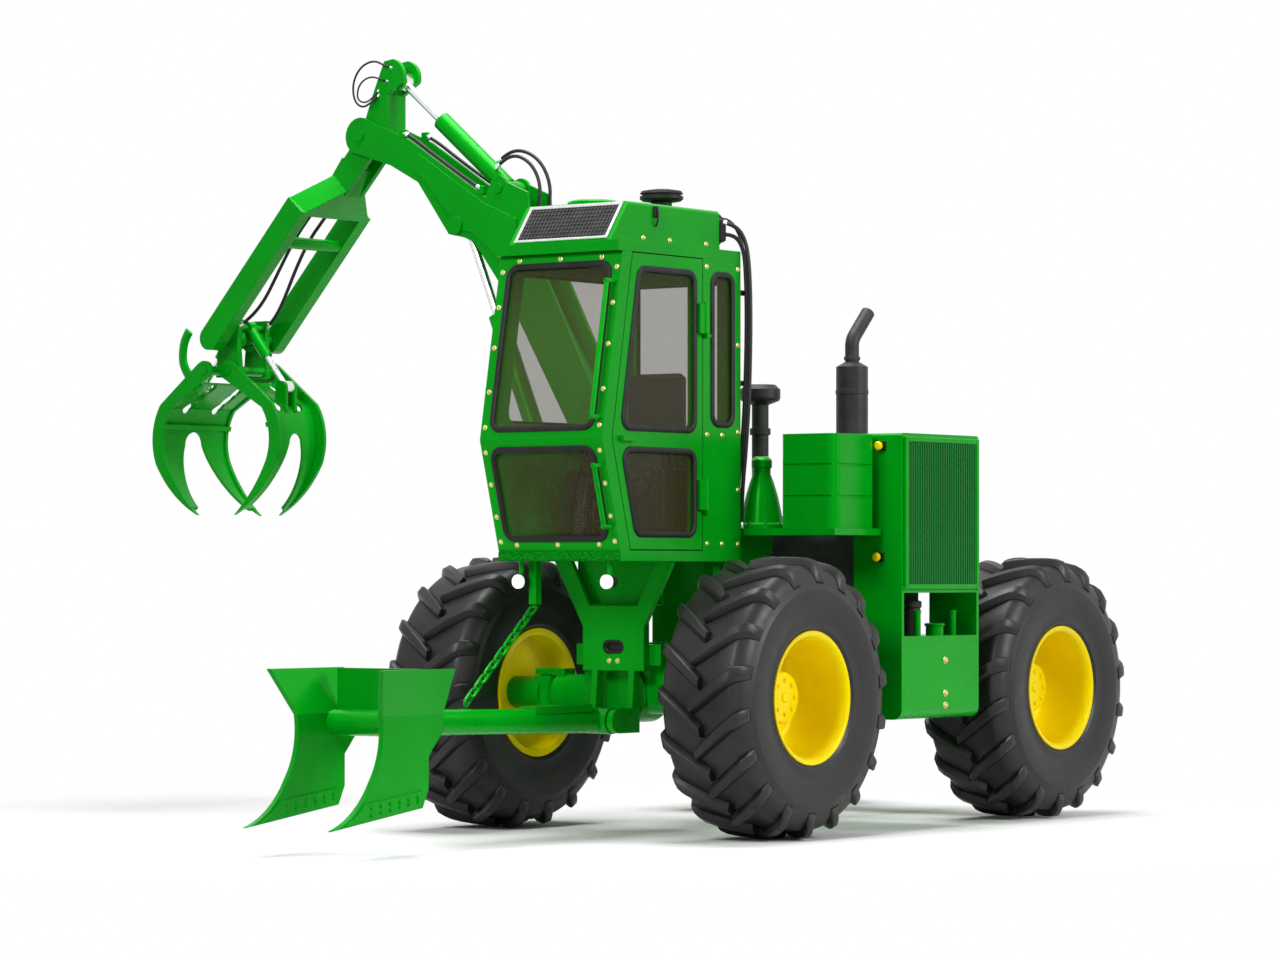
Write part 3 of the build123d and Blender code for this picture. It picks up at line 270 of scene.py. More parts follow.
def octagon(low, high, z, edge):
    """A level outline between two corners, with its own corners cut back."""
    (x0, y0, *_), (x1, y1, *_) = low, high
    return [(x0 + edge, y0, z), (x1 - edge, y0, z), (x1, y0 + edge, z), (x1, y1 - edge, z),
            (x1 - edge, y1, z), (x0 + edge, y1, z), (x0, y1 - edge, z), (x0, y0 + edge, z)]


def stadium(centre, half_long, half_high, along, up):
    """Points round a slot with round ends."""
    points = []
    for end in (1, -1):
        for k in range(9):
            a = math.pi * (k / 8 - 0.5)
            points.append(centre + end * along * (half_long - half_high + half_high * math.cos(a))
                          + end * up * half_high * math.sin(a))
    return points


class Shape:
    """Vertices and faces gathered for one piece."""

    def __init__(self):
        self.verts = []
        self.faces = []

    def add(self, verts, faces):
        """Adds a patch of vertices with its own face numbers."""
        start = len(self.verts)
        self.verts += [tuple(v) for v in verts]
        self.faces += [[start + i for i in face] for face in faces]

    def rings(self, rings, closed=False, caps=True):
        """Joins rings of equal length with quads; closed joins the last ring to the first."""
        count = len(rings[0])
        verts = [v for ring in rings for v in ring]
        faces = []
        last = len(rings) if closed else len(rings) - 1
        for i in range(last):
            a, b = i * count, (i + 1) % len(rings) * count
            faces += [[a + j, a + (j + 1) % count, b + (j + 1) % count, b + j] for j in range(count)]
        if caps and not closed:
            faces += [list(range(count))[::-1], list(range(len(verts) - count, len(verts)))]
        self.add(verts, faces)

    def tube(self, path, radius, sides=10, closed=False, flat=1.0, normal=None):
        """A tube along a path of points; flat squeezes it along the normal."""
        points = [Vector(p) for p in path]
        count = len(points)
        fixed = normal is not None
        rings = []
        for i, point in enumerate(points):
            before = points[i - 1] if i or closed else point
            after = points[(i + 1) % count] if i < count - 1 or closed else point
            way = (after - before).normalized()
            if normal is None:
                normal = way.orthogonal().normalized()
            across = (normal - way * normal.dot(way)).normalized()
            normal = normal if fixed else across
            other = way.cross(across)
            rings.append([point + radius * (flat * math.cos(a) * across + math.sin(a) * other)
                          for a in turns(sides)])
        self.rings(rings, closed)

    def lathe(self, profile, at, axis, sides=24, closed=False):
        """A turned form; the profile holds (radius, height) pairs along the axis."""
        way = Vector(axis).normalized()
        u = way.orthogonal().normalized()
        v = way.cross(u)
        rings = []
        for radius, height in profile:
            centre = Vector(at) + way * height
            rings.append([centre + radius * (math.cos(a) * u + math.sin(a) * v)
                          for a in turns(sides)])
        self.rings(rings, closed)

    def block(self, low, high, edge=0.004):
        """A box with its edges cut back."""
        (x0, y0, z0), (x1, y1, z1) = low, high

        def ring(z, inset):
            return octagon((x0 + inset, y0 + inset), (x1 - inset, y1 - inset), z, edge)

        self.rings([ring(z0, edge), ring(z0 + edge, 0), ring(z1 - edge, 0), ring(z1, edge)])

    def bolt(self, at, axis, radius):
        """A hexagon bolt on its washer."""
        r = radius
        self.lathe([(1.35 * r, -0.1 * r), (1.35 * r, 0.18 * r), (1.2 * r, 0.26 * r)], at, axis, 14)
        self.lathe([(r, 0.2 * r), (r, 0.75 * r), (0.8 * r, 0.95 * r)], at, axis, 6)


# Finishes that count under another slot, or under none
SLOT_OF = {"hose_rubber": "black_plastic", "grip_paint": "green_paint", "bolt_zinc": None}


def finished(name, shape, finish, body="chassis", smooth=35):
    """Makes the piece's object, with its finish, on the body that carries it."""
    mesh = bpy.data.meshes.new(name)
    mesh.from_pydata(shape.verts, [], shape.faces)
    mesh.validate()
    mesh.materials.append(finish_of(finish))
    piece = bpy.data.objects.new(name, mesh)
    bpy.context.scene.collection.objects.link(piece)
    mesh.shade_smooth()
    mesh.set_sharp_from_angle(angle=math.radians(smooth))
    if body:
        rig.ride(piece, body)
    slot = SLOT_OF.get(finish, finish)
    if slot:
        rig.slot(piece, slot)
    return piece


class Finish:
    """A procedural material built round one Principled shader."""

    def __init__(self, name, roughness, **sockets):
        self.material = bpy.data.materials.new(f"loader_{name}")
        self.material.use_nodes = True
        self.nodes = self.material.node_tree.nodes
        self.links = self.material.node_tree.links
        self.shader = self.nodes["Principled BSDF"]
        self.shader.inputs["Roughness"].default_value = roughness
        for socket, value in sockets.items():
            self.shader.inputs[socket.replace("_", " ")].default_value = value
        self.place = self.nodes.new("ShaderNodeTexCoord").outputs["Object"]

    def node(self, kind, source, socket, **values):
        """A node with its values set and a source linked to one socket."""
        node = self.nodes.new(f"ShaderNode{kind}")
        for name, value in values.items():
            node.inputs[name.replace("_", " ")].default_value = value
        self.links.new(source, node.inputs[socket])
        return node

    def noise(self, scale, detail=3.0, rough=0.5):
        """Noise in object space, in cells a metre."""
        node = self.node("TexNoise", self.place, "Vector", Scale=scale, Detail=detail, Roughness=rough)
        return node.outputs["Fac"]

    def cells(self, scale):
        """Distance to the nearest cell middle, in cells a metre."""
        return self.node("TexVoronoi", self.place, "Vector", Scale=scale).outputs["Distance"]

    def ramp(self, value, low, high, first, last):
        """Colours between two stops of a value."""
        node = self.nodes.new("ShaderNodeValToRGB")
        for stop, (at, colour) in zip(node.color_ramp.elements, ((low, first), (high, last))):
            stop.position = at
            stop.color = (*colour, 1)
        self.links.new(value, node.inputs["Fac"])
        return node.outputs["Color"]

    def spread(self, value, low, high):
        """Maps a value from 0..1 to low..high."""
        return self.node("MapRange", value, "Value", To_Min=low, To_Max=high).outputs["Result"]

    def bump(self, value, distance, strength=1.0, edge=0.0):
        """Bump from a value, over rounded edges where edge is set."""
        node = self.node("Bump", value, "Height", Distance=distance, Strength=strength)
        if edge:
            soft = self.nodes.new("ShaderNodeBevel")
            soft.samples = 4
            soft.inputs["Radius"].default_value = edge
            self.links.new(soft.outputs["Normal"], node.inputs["Normal"])
        self.links.new(node.outputs["Normal"], self.shader.inputs["Normal"])

    def colour(self, output):
        """Links the base colour."""
        self.links.new(output, self.shader.inputs["Base Color"])

    def mottle(self, noise, stops, dark, pale):
        """Colour that wanders between two shades."""
        self.colour(self.ramp(self.noise(*noise), *stops, dark, pale))

    def wear(self, noise, low, high):
        """Roughness that wanders between two values."""
        self.links.new(self.spread(self.noise(*noise), low, high), self.shader.inputs["Roughness"])


def shade(colour, factor):
    """A colour made lighter or darker."""
    return tuple(min(1.0, c * factor) for c in colour)


TINT_FLOOR = 0.04


def gloss_paint(name, colour):
    """Gloss machine paint with faint mottling, orange peel and softened edges."""
    peak = max(colour)
    tint = (*(max(TINT_FLOOR, value / peak) for value in colour), 1)
    finish = Finish(name, 0.25, Specular_IOR_Level=0.4, Specular_Tint=tint)
    finish.mottle((1.8, 6.0, 0.6), (0.3, 0.75), shade(colour, 0.88), shade(colour, 1.1))
    finish.wear((9.0, 4.0), 0.16, 0.34)
    finish.bump(finish.noise(240.0, 2.0), 0.0006, 0.2, edge=0.005)
    return finish.material


def grip_paint(name, colour):
    """Paint over a rough tread plate, worn bright on its high points."""
    finish = Finish(name, 0.5, Specular_IOR_Level=0.05)
    grain = finish.cells(95.0)
    finish.colour(finish.ramp(grain, 0.12, 0.5, shade(colour, 1.6), shade(colour, 0.55)))
    finish.wear((60.0, 4.0), 0.3, 0.6)
    finish.bump(grain, 0.004, 0.9)
    return finish.material


def rubber(name, colour):
    """Tyre rubber with a dusty bloom and a fine grain."""
    finish = Finish(name, 0.4, Specular_IOR_Level=0.32)
    finish.mottle((4.0, 8.0, 0.65), (0.35, 0.8), shade(colour, 0.5), shade(colour, 1.3))
    finish.wear((12.0, 5.0), 0.26, 0.56)
    finish.bump(finish.noise(160.0, 4.0), 0.0015, 0.35, edge=0.006)
    return finish.material


def satin_coat(name, colour, roughness):
    """Satin coating or moulded plastic, a little uneven."""
    finish = Finish(name, roughness, Specular_IOR_Level=0.18)
    finish.mottle((12.0, 5.0), (0.3, 0.8), shade(colour, 0.75), shade(colour, 1.7))
    finish.wear((20.0, 4.0), roughness - 0.1, roughness + 0.12)
    finish.bump(finish.noise(180.0, 2.0), 0.0008, 0.25, edge=0.003)
    return finish.material


def bright_metal(name, pale, roughness, dark=None):
    """Ground, plated metal with faint wear."""
    dark = dark or shade(pale, 0.8)
    finish = Finish(name, roughness, Metallic=1.0)
    finish.mottle((30.0, 4.0), (0.3, 0.8), dark, pale)
    finish.wear((50.0, 3.0), roughness - 0.05, roughness + 0.1)
    finish.bump(finish.noise(300.0, 2.0), 0.0001, 0.1)
    return finish.material


GLASS_COVER = 0.26
LENS_SHADE = (0.85, 0.85, 0.85)


def tinted_glass(name, colour):
    """Smoked safety glass that shows the cab's inside."""
    finish = Finish(name, 0.03, Alpha=GLASS_COVER, Specular_IOR_Level=0.15)
    finish.mottle((1.2, 2.0), (0.3, 0.8), shade(colour, 0.97), shade(colour, 1.02))
    return finish.material


def lamp_lens(name, pale):
    """Pale ribbed lens of a work lamp."""
    finish = Finish(name, 0.12, Coat_Weight=0.6, Coat_Roughness=0.03, Emission_Strength=0.55,
                    Emission_Color=(1, 1, 1, 1))
    finish.mottle((90.0, 2.0), (0.3, 0.7), LENS_SHADE, pale)
    finish.bump(finish.noise(120.0, 1.0), 0.001, 0.3)
    return finish.material


def woven_cloth(name, colour):
    """Dark woven seat cover."""
    finish = Finish(name, 0.85, Sheen_Weight=0.3)
    finish.mottle((320.0, 2.0), (0.35, 0.7), shade(colour, 0.7), shade(colour, 1.6))
    finish.bump(finish.noise(520.0, 2.0), 0.001, 0.5)
    return finish.material


# Each finish: its maker, its colour or the setting that holds it, and what else the maker takes
FINISHES = {
    "green_paint": (gloss_paint, "body_green"),
    "grip_paint": (grip_paint, "body_green"),
    "grille_paint": (gloss_paint, "grille_green"),
    "yellow_paint": (gloss_paint, "wheel_yellow"),
    "tyre": (rubber, "tyre_black"),
    "hose_rubber": (rubber, "fitting_black"),
    "tinted_glass": (tinted_glass, "glass_tint"),
    "black_steel": (satin_coat, "exhaust_grey", 0.45),
    "grey_mesh": (satin_coat, (0.10, 0.10, 0.095), 0.4),
    "black_plastic": (satin_coat, "fitting_black", 0.5),
    "seat_cover": (woven_cloth, (0.03, 0.03, 0.035)),
    "lamp": (lamp_lens, (0.97, 0.97, 0.97)),
    "rod_chrome": (bright_metal, (0.88, 0.88, 0.90), 0.2, (0.72, 0.72, 0.74)),
    "bolt_zinc": (bright_metal, "bolt_zinc", 0.3),
}


def finish_of(name):
    """A finish by name, made at its first use."""
    made = bpy.data.materials.get(f"loader_{name}")
    if made:
        return made
    maker, colour, *rest = FINISHES[name]
    if isinstance(colour, str):
        colour = getattr(bpy.context.scene.loader_finishes, colour)
    return maker(name, colour, *rest)


class LOADER_OT_paint(bpy.types.Operator):
    """Gives every solid its finish"""

    bl_idname = "loader.paint"
    bl_label = "Paint the solids"

    def execute(self, context):
        for row in frame["record"]["subparts"]:
            node = NODES[row["node"]]
            node.data.materials.clear()
            node.data.materials.append(finish_of(row["material_slot"]))
        return {"FINISHED"}


# Half of the carcass from the bead out: radius and place across the tyre
CARCASS = (
    (0.345, 0.245), (0.372, 0.250), (0.392, 0.262), (0.400, 0.268), (0.408, 0.265), (0.47, 0.279),
    (0.545, 0.2885), (0.60, 0.2895), (0.606, 0.289), (0.612, 0.2855), (0.65, 0.281), (0.69, 0.266),
    (0.718, 0.245), (0.735, 0.222), (0.7405, 0.205), (0.742, 0.12), (0.742, 0.0),
)
# Stations of a lug: place across, place round the tread, foot radius, top radius, share of the full width
LUG = (
    (-0.030, -0.106, 0.728, 0.786, 0.80), (0.020, -0.070, 0.732, 0.789, 0.96),
    (0.090, -0.020, 0.734, 0.788, 1.0), (0.160, 0.028, 0.734, 0.785, 1.02),
    (0.210, 0.062, 0.728, 0.780, 1.04), (0.245, 0.085, 0.708, 0.766, 1.02),
    (0.270, 0.100, 0.680, 0.735, 0.95), (0.284, 0.106, 0.640, 0.690, 0.80),
)
CARCASS_SIDES = 108
LUG_LEAN = 10.17
LUG_CHAMFER = 0.010
TREAD_R, BEAD_R, BEAD_HALF = 0.742, 0.345, 0.15
# The rim's whole section, radius and place across, round from the inner bead
RIM = (
    (0.345, -0.250), (0.345, 0.250), (0.3735, 0.250), (0.3755, 0.256), (0.372, 0.262), (0.360, 0.262),
    (0.346, 0.253), (0.335, 0.236), (0.329, 0.20), (0.327, 0.10), (0.321, 0.02), (0.302, -0.042),
    (0.275, -0.064), (0.245, -0.070), (0.172, -0.070), (0.156, -0.062), (0.150, -0.045), (0.148, 0.045),
    (0.140, 0.064), (0.120, 0.070), (0.030, 0.070), (0.030, -0.017), (0.0605, -0.017), (0.0605, -0.094),
    (0.300, -0.094), (0.327, -0.112), (0.327, -0.235), (0.336, -0.252), (0.360, -0.262), (0.372, -0.262),
    (0.3755, -0.256), (0.3735, -0.250),
)
RIM_SIDES = 72
# Rings of bolts as count, ring radius, place across and bolt radius; the nuts' count is a setting
NUT_RING, HUB_BOLTS = (0.205, -0.070, 0.016), (8, 0.095, 0.070, 0.010)
HUB_CAP, HUB_FACE = ((0.030, -0.01), (0.030, 0.002), (0.022, 0.008)), 0.070
VALVE, VALVE_AT = ((0.006, -0.01), (0.006, 0.035), (0.004, 0.04)), (0.26, 0, 0.1)
VALVE_FACE = -0.068


def wheel_middle(node):
    """The middle of a wheel's solid."""
    low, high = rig.box(node)
    return (low + high) / 2


def tyre_shape(node, sign, look):
    """Carcass of revolution with two rows of slanted lugs that run down over the shoulders."""
    centre = wheel_middle(node)
    shape = Shape()

    def point(angle, radius, across):
        return centre + Vector((math.cos(angle) * radius, sign * across, math.sin(angle) * radius))

    profile = list(CARCASS) + [(r, -w) for r, w in reversed(CARCASS[:-1])]
    profile += [(BEAD_R, -BEAD_HALF), (BEAD_R, BEAD_HALF)]
    rings = [[point(a, r, w) for r, w in profile] for a in turns(CARCASS_SIDES)]
    shape.rings(rings if sign < 0 else rings[::-1], closed=True)
    pitch = 360 / look.lugs_a_side
    for hand in (1, -1):
        low = 90 - LUG_LEAN - hand * pitch / 4
        for i in range(look.lugs_a_side):
            start = -math.radians(low + i * pitch)
            rows = []
            for across, round_, foot, top, share in LUG:
                half, wide = look.lug_width / 2 * share, look.lug_width / 2 * share + look.lug_flare / 2
                section = ((-wide, foot), (-half, top - LUG_CHAMFER), (LUG_CHAMFER - half, top),
                           (half - LUG_CHAMFER, top), (half, top - LUG_CHAMFER), (wide, foot))
                rows.append([point(start + (round_ + u) / TREAD_R, r, hand * across) for u, r in section])
            shape.rings(rows if hand * sign > 0 else rows[::-1])
    return shape


def rim_shape(node, sign, look):
    """Deep dished rim with wheel nuts, hub bolts and a valve."""
    centre = wheel_middle(node)
    out = LEFT * sign
    shape = Shape()
    shape.lathe(RIM, centre, out, RIM_SIDES, closed=True)
    for count, ring, depth, radius in ((look.wheel_nuts, *NUT_RING), HUB_BOLTS):
        for a in turns(count):
            at = centre + Vector((math.cos(a) * ring, 0, math.sin(a) * ring)) + out * depth
            shape.bolt(at, out, radius)
    shape.lathe(HUB_CAP, centre + out * HUB_FACE, out, 20)
    shape.lathe(VALVE, centre + Vector(VALVE_AT) + out * VALVE_FACE, out, 8)
    return shape


class LOADER_OT_wheels(bpy.types.Operator):
    """Makes the four lugged tyres and their dished rims"""

    bl_idname = "loader.wheels"
    bl_label = "Wheels"

    def execute(self, context):
        look = context.scene.loader_wheels
        for end, side, sign in WHEELS:
            body = f"wheel_{end}_{side}"
            tyre = finished(f"lugged_tyre_{end}_{side}", tyre_shape(f"tyre_{end}_{side}", sign, look),
                            "tyre", body)
            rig.replaces(tyre, f"tyre_{end}_{side}")
            rim = finished(f"dished_rim_{end}_{side}", rim_shape(f"rim_{end}_{side}", sign, look),
                           "yellow_paint", body)
            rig.replaces(rim, f"rim_{end}_{side}")
        return {"FINISHED"}


# The cab's low and high corner, and how its window seals sit
CAB = (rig.box("cab_floor")[0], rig.box("cab_roof")[1])
SEAL_LIFT, SEAL_PLUMP = 0.018, 1.4


def loose_groups(mesh):
    """Vertex numbers of each separate solid in a mesh."""
    parent = list(range(len(mesh.vertices)))

    def root(i):
        while parent[i] != i:
            parent[i] = parent[parent[i]]
            i = parent[i]
        return i

    places = {}
    for v in mesh.vertices:
        key = tuple(round(c, 5) for c in v.co)
        if key in places:
            parent[root(v.index)] = root(places[key])
        places[key] = v.index
    for face in mesh.polygons:
        for v in face.vertices[1:]:
            parent[root(v)] = root(face.vertices[0])
    groups = {}
    for v in mesh.vertices:
        groups.setdefault(root(v.index), []).append(v.index)
    return groups.values()


def pane_outlines(node):
    """The outline of each pane of a glass node, with the way it faces outward."""
    mesh = NODES[node].data
    middle = Vector(((CAB[0].x + CAB[1].x) / 2, 0, (CAB[0].z + CAB[1].z) / 2))
    for members in loose_groups(mesh):
        inside = set(members)
        wide = max((f for f in mesh.polygons if f.vertices[0] in inside), key=lambda f: f.area)
        normal = wide.normal.copy()
        points = [mesh.vertices[i].co for i in members]
        centre = sum(points, Vector()) / len(points)
        if normal.dot(centre - middle) < 0:
            normal.negate()
        yield hull(points, centre, normal), normal


def hull(points, centre, normal):
    """The points' convex outline in the plane through the centre."""
    u = normal.orthogonal().normalized()
    v = normal.cross(u)
    flat = sorted({(round((p - centre).dot(u), 4), round((p - centre).dot(v), 4)) for p in points})

    def half(row):
        chain = []
        for p in row:
            while len(chain) > 1 and ((chain[-1][0] - chain[-2][0]) * (p[1] - chain[-2][1])
                                      <= (chain[-1][1] - chain[-2][1]) * (p[0] - chain[-2][0])):
                chain.pop()
            chain.append(p)
        return chain[:-1]

    return [centre + u * a + v * b for a, b in half(flat) + half(flat[::-1])]


class LOADER_OT_seals(bpy.types.Operator):
    """Puts a flat black rubber seal round every pane"""

    bl_idname = "loader.seals"
    bl_label = "Window seals"

    def execute(self, context):
        look = context.scene.loader_fittings
        for node, body in (("cab_glass", "chassis"), ("door_glass", "door")):
            shape = Shape()
            for outline, normal in pane_outlines(node):
                lift = normal * SEAL_LIFT
                shape.tube([p + lift for p in outline], look.seal_width / 2, 12, closed=True,
                           flat=look.seal_height / look.seal_width * SEAL_PLUMP, normal=normal)
            finished(f"seals_{node}", shape, "black_plastic", body)
        return {"FINISHED"}


# The chain's route from the hanger to the piler's lug, with its link sizes
CHAIN_TOP, CHAIN_END = Vector((1.925, -0.270, 1.300)), Vector((2.825, -0.060, 0.760))
LINK_PITCH, LINK_HALF_LONG, LINK_HALF_WIDE, LINKS = 0.0737, 0.053, 0.028, 14


class LOADER_OT_chain(bpy.types.Operator):
    """Hangs the piler's chain as welded round links"""

    bl_idname = "loader.chain"
    bl_label = "Chain"

    def execute(self, context):
        wire = context.scene.loader_fittings.link_wire
        way = (CHAIN_END - CHAIN_TOP).normalized()
        side = way.cross(UP).normalized()
        over = side.cross(way)
        shape = Shape()
        for i in range(LINKS):
            middle = CHAIN_TOP + way * (LINK_HALF_LONG + i * LINK_PITCH)
            across = over if i % 2 else side
            bend = LINK_HALF_WIDE - wire
            oval = stadium(middle, LINK_HALF_LONG - wire, bend, way, across)
            shape.tube(oval, wire, 8, closed=True)
        links = finished("chain_links", shape, "green_paint", None)
        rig.blend(links, "chassis", "piler", CHAIN_TOP, CHAIN_END)
        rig.replaces(links, "chain")
        return {"FINISHED"}


MAST_FOOT = (0.600, -0.650, 1.720)


def arm(r, h, off=0.0):
    """A place in the boom's plane, in millimetres: out from the mast, up from its foot, off to its side."""
    x, y, z = MAST_FOOT
    return Vector((x + off / 1000, y - r / 1000, z + h / 1000))


def smooth_line(points):
    """Points read along the smooth line of a route."""
    curve = bpy.data.curves.new("route", "CURVE")
    curve.dimensions = "3D"
    curve.resolution_u = 10
    spline = curve.splines.new("NURBS")
    spline.points.add(len(points) - 1)
    for knot, place in zip(spline.points, points):
        knot.co = (*place, 1)
    spline.order_u = 3
    spline.use_endpoint_u = True
    holder = bpy.data.objects.new("route", curve)
    bpy.context.scene.collection.objects.link(holder)
    mesh = bpy.data.meshes.new_from_object(holder.evaluated_get(bpy.context.evaluated_depsgraph_get()))
    line = [v.co.copy() for v in mesh.vertices]
    bpy.data.objects.remove(holder)
    bpy.data.curves.remove(curve)
    bpy.data.meshes.remove(mesh)
    return line


def ferrule(shape, at, way, radius):
    """A crimped steel end on a hose."""
    r = radius
    shape.lathe([(1.15 * r, -0.5 * r), (1.35 * r, 0), (1.35 * r, 1.2 * r), (1.2 * r, 1.4 * r),
                 (1.35 * r, 1.6 * r), (1.35 * r, 2.8 * r), (1.1 * r, 3.2 * r)], at, way, 14)


def hose(name, route, diameter, body, other=None, bend=None):
    """A rubber hose on one body, or bending between two, with a crimped end at each side."""
    line = smooth_line(route)
    shape = Shape()
    shape.tube(line, diameter / 2, 12)
    piece = finished(name, shape, "hose_rubber", None if other else body)
    if other:
        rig.blend(piece, body, other, *bend)
    length = sum((b - a).length for a, b in zip(line, line[1:]))
    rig.cord(piece, exit=line[0], length=length, diameter=diameter, far_end="object", stiffness="stiff",
            lay="hanging", path=line)
    ends = ((line[0], line[1], body), (line[-1], line[-2], other or body))
    for number, (at, after, holder) in enumerate(ends):
        end = Shape()
        ferrule(end, at, after - at, diameter / 2)
        finished(f"{name}_end_{number + 1}", end, "rod_chrome", holder)


# Hoses on one body: name, thickness share, route; the cab's in metres, the others in the boom's plane
CAB_HOSES = (
    ("cab_hose_outer", 1.1, (
        (0.960, 0.330, 3.500), (0.930, 0.400, 3.490), (0.880, 0.452, 3.400), (0.868, 0.470, 3.200),
        (0.866, 0.474, 2.880), (0.868, 0.464, 2.480), (0.866, 0.440, 2.190), (0.858, 0.415, 2.020),
        (0.850, 0.400, 1.880), (0.842, 0.392, 1.740),
    )),
    ("cab_hose_middle", 1.1, (
        (0.960, 0.300, 3.430), (0.905, 0.372, 3.440), (0.868, 0.425, 3.360), (0.864, 0.440, 3.180),
        (0.862, 0.443, 2.880), (0.864, 0.432, 2.480), (0.862, 0.408, 2.190), (0.855, 0.383, 2.020),
        (0.848, 0.366, 1.880), (0.842, 0.358, 1.740),
    )),
    ("cab_hose_inner", 0.8, (
        (0.940, 0.270, 3.520), (0.880, 0.330, 3.540), (0.842, 0.400, 3.400), (0.838, 0.425, 3.180),
        (0.836, 0.430, 2.880), (0.838, 0.420, 2.480), (0.836, 0.396, 2.190), (0.836, 0.372, 2.020),
        (0.838, 0.345, 1.880), (0.842, 0.328, 1.740),
    )),
)
ELBOW_HOSES = (
    ("elbow_hose_large", 0.6, (
        (1712, 2880, 82), (1718, 2886, 128), (1800, 2930, 150), (1905, 2895, 155), (1968, 2800, 155),
        (1962, 2690, 150), (1905, 2640, 142), (1842, 2668, 128), (1812, 2724, 82),
    )),
    ("elbow_hose_small", 0.5, (
        (1742, 2800, 82), (1752, 2806, 120), (1842, 2836, 138), (1930, 2790, 140), (1950, 2700, 138),
        (1892, 2668, 132), (1836, 2700, 118), (1815, 2752, 82),
    )),
)
BOOM_ROUTE = ((1590, 2470, 108), (1500, 2424, 108), (1380, 2340, 109), (1180, 2212, 108),
              (1060, 2138, 108), (990, 2096, 108))
BOOM_HOSES = tuple((f"boom_hose_{side}", 1.0, [(r, h, hand * off) for r, h, off in BOOM_ROUTE])
                   for side, hand in (("near", 1), ("far", -1)))
# Hoses across a joint: name, thickness share, the two bodies, where the bending starts and ends, route
JOINT_HOSES = (
    ("stick_cylinder_hose_near", 1.0, "boom", "stick_barrel", ((600, 2090, 45), (890, 2240, 45)), (
        (610, 1900, 45), (586, 1990, 45), (580, 2110, 45), (640, 2225, 45), (745, 2290, 45),
        (850, 2280, 45), (918, 2222, 45),
    )),
    ("stick_cylinder_hose_far", 1.0, "boom", "stick_barrel", ((600, 2090, -45), (960, 2285, -45)), (
        (610, 1870, -45), (582, 1970, -45), (570, 2110, -45), (645, 2255, -45), (775, 2330, -45),
        (900, 2325, -45), (975, 2268, -45),
    )),
    ("grapple_hose_near", 1.0, "stick", "grapple_head", ((2720, 1640, 90), (2900, 1360, 130)), (
        (2345, 2045, 70), (2400, 1990, 72), (2520, 1850, 78), (2640, 1660, 86), (2745, 1480, 100),
        (2850, 1372, 120), (2926, 1330, 130),
    )),
    ("grapple_hose_far", 1.0, "stick", "grapple_head", ((2720, 1640, -90), (2900, 1360, -130)), (
        (2345, 2045, -70), (2400, 1990, -72), (2530, 1862, -78), (2650, 1680, -86), (2755, 1500, -100),
        (2852, 1382, -120), (2926, 1330, -130),
    )),
)


class LOADER_OT_hoses(bpy.types.Operator):
    """Runs the hydraulic hoses down the cab's corner, along the boom and over the joints"""

    bl_idname = "loader.hoses"
    bl_label = "Hoses"

    def execute(self, context):
        size = context.scene.loader_fittings.hose_diameter
        for name, share, route in CAB_HOSES:
            hose(name, [Vector(p) for p in route], share * size, "chassis")
        for rows, body in ((ELBOW_HOSES, "stick"), (BOOM_HOSES, "boom")):
            for name, share, route in rows:
                hose(name, [arm(*p) for p in route], share * size, body)
        for name, share, body, other, bend, route in JOINT_HOSES:
            hose(name, [arm(*p) for p in route], share * size, body, other, [arm(*p) for p in bend])
        return {"FINISHED"}


# Clamps that hold the cab's hoses, as low and high corner, and what holds the boom's
CLAMPS = (
    ((0.822, 0.392, 3.080), (0.908, 0.428, 3.110)), ((0.822, 0.400, 2.560), (0.908, 0.428, 2.590)),
    ((0.822, 0.372, 2.160), (0.908, 0.400, 2.190)),
)
BLOCK_OFF, BLOCK_PLACES = 108, ((1600, 2470), (985, 2090))
BLOCK_LOW, BLOCK_HIGH = Vector((0.014, 0.026, 0.030)), Vector((0.014, 0.026, 0.022))
HORN_OFF, HORN_R, HORN_FLAT = 292, 0.034, 0.42
HORN_ROUTE = ((3110, 920), (3160, 962), (3215, 1015), (3262, 1090), (3264, 1170), (3245, 1250), (3208, 1296))


class LOADER_OT_brackets(bpy.types.Operator):
    """Makes the clamps and blocks that hold the hoses, and the outer jaw's horn"""

    bl_idname = "loader.brackets"
    bl_label = "Hose brackets"

    def execute(self, context):
        clamps = Shape()
        for low, high in CLAMPS:
            clamps.block(low, high, 0.006)
        finished("cab_hose_clamps", clamps, "black_plastic")
        blocks = Shape()
        for off in (-BLOCK_OFF, BLOCK_OFF):
            for r, h in BLOCK_PLACES:
                at = arm(r, h, off)
                blocks.block(at - BLOCK_LOW, at + BLOCK_HIGH)
        finished("boom_hose_blocks", blocks, "green_paint", "boom")
        horn = Shape()
        route = smooth_line([arm(r, h, HORN_OFF) for r, h in HORN_ROUTE])
        horn.tube(route, HORN_R, 12, flat=HORN_FLAT, normal=AHEAD)
        finished("jaw_horn", horn, "green_paint", "jaw_outer")
        return {"FINISHED"}


# Front panels of the cab: their edges as (x, z), and where the bolts sit on them
FRONT_LOW, FRONT_BELT, FRONT_TOP = (2.055, 1.610), (2.225, 2.230), (2.035, 3.270)
FRONT_BOLT_Z = (1.660, 1.800, 1.980, 2.160, 2.300, 2.500, 2.750, 2.980, 3.180)
FRONT_SIDE_Y, FRONT_ROW_Y, FRONT_ROW_Z = (-0.402, 0.402), (-0.290, 0.0, 0.290), (1.642, 3.240)
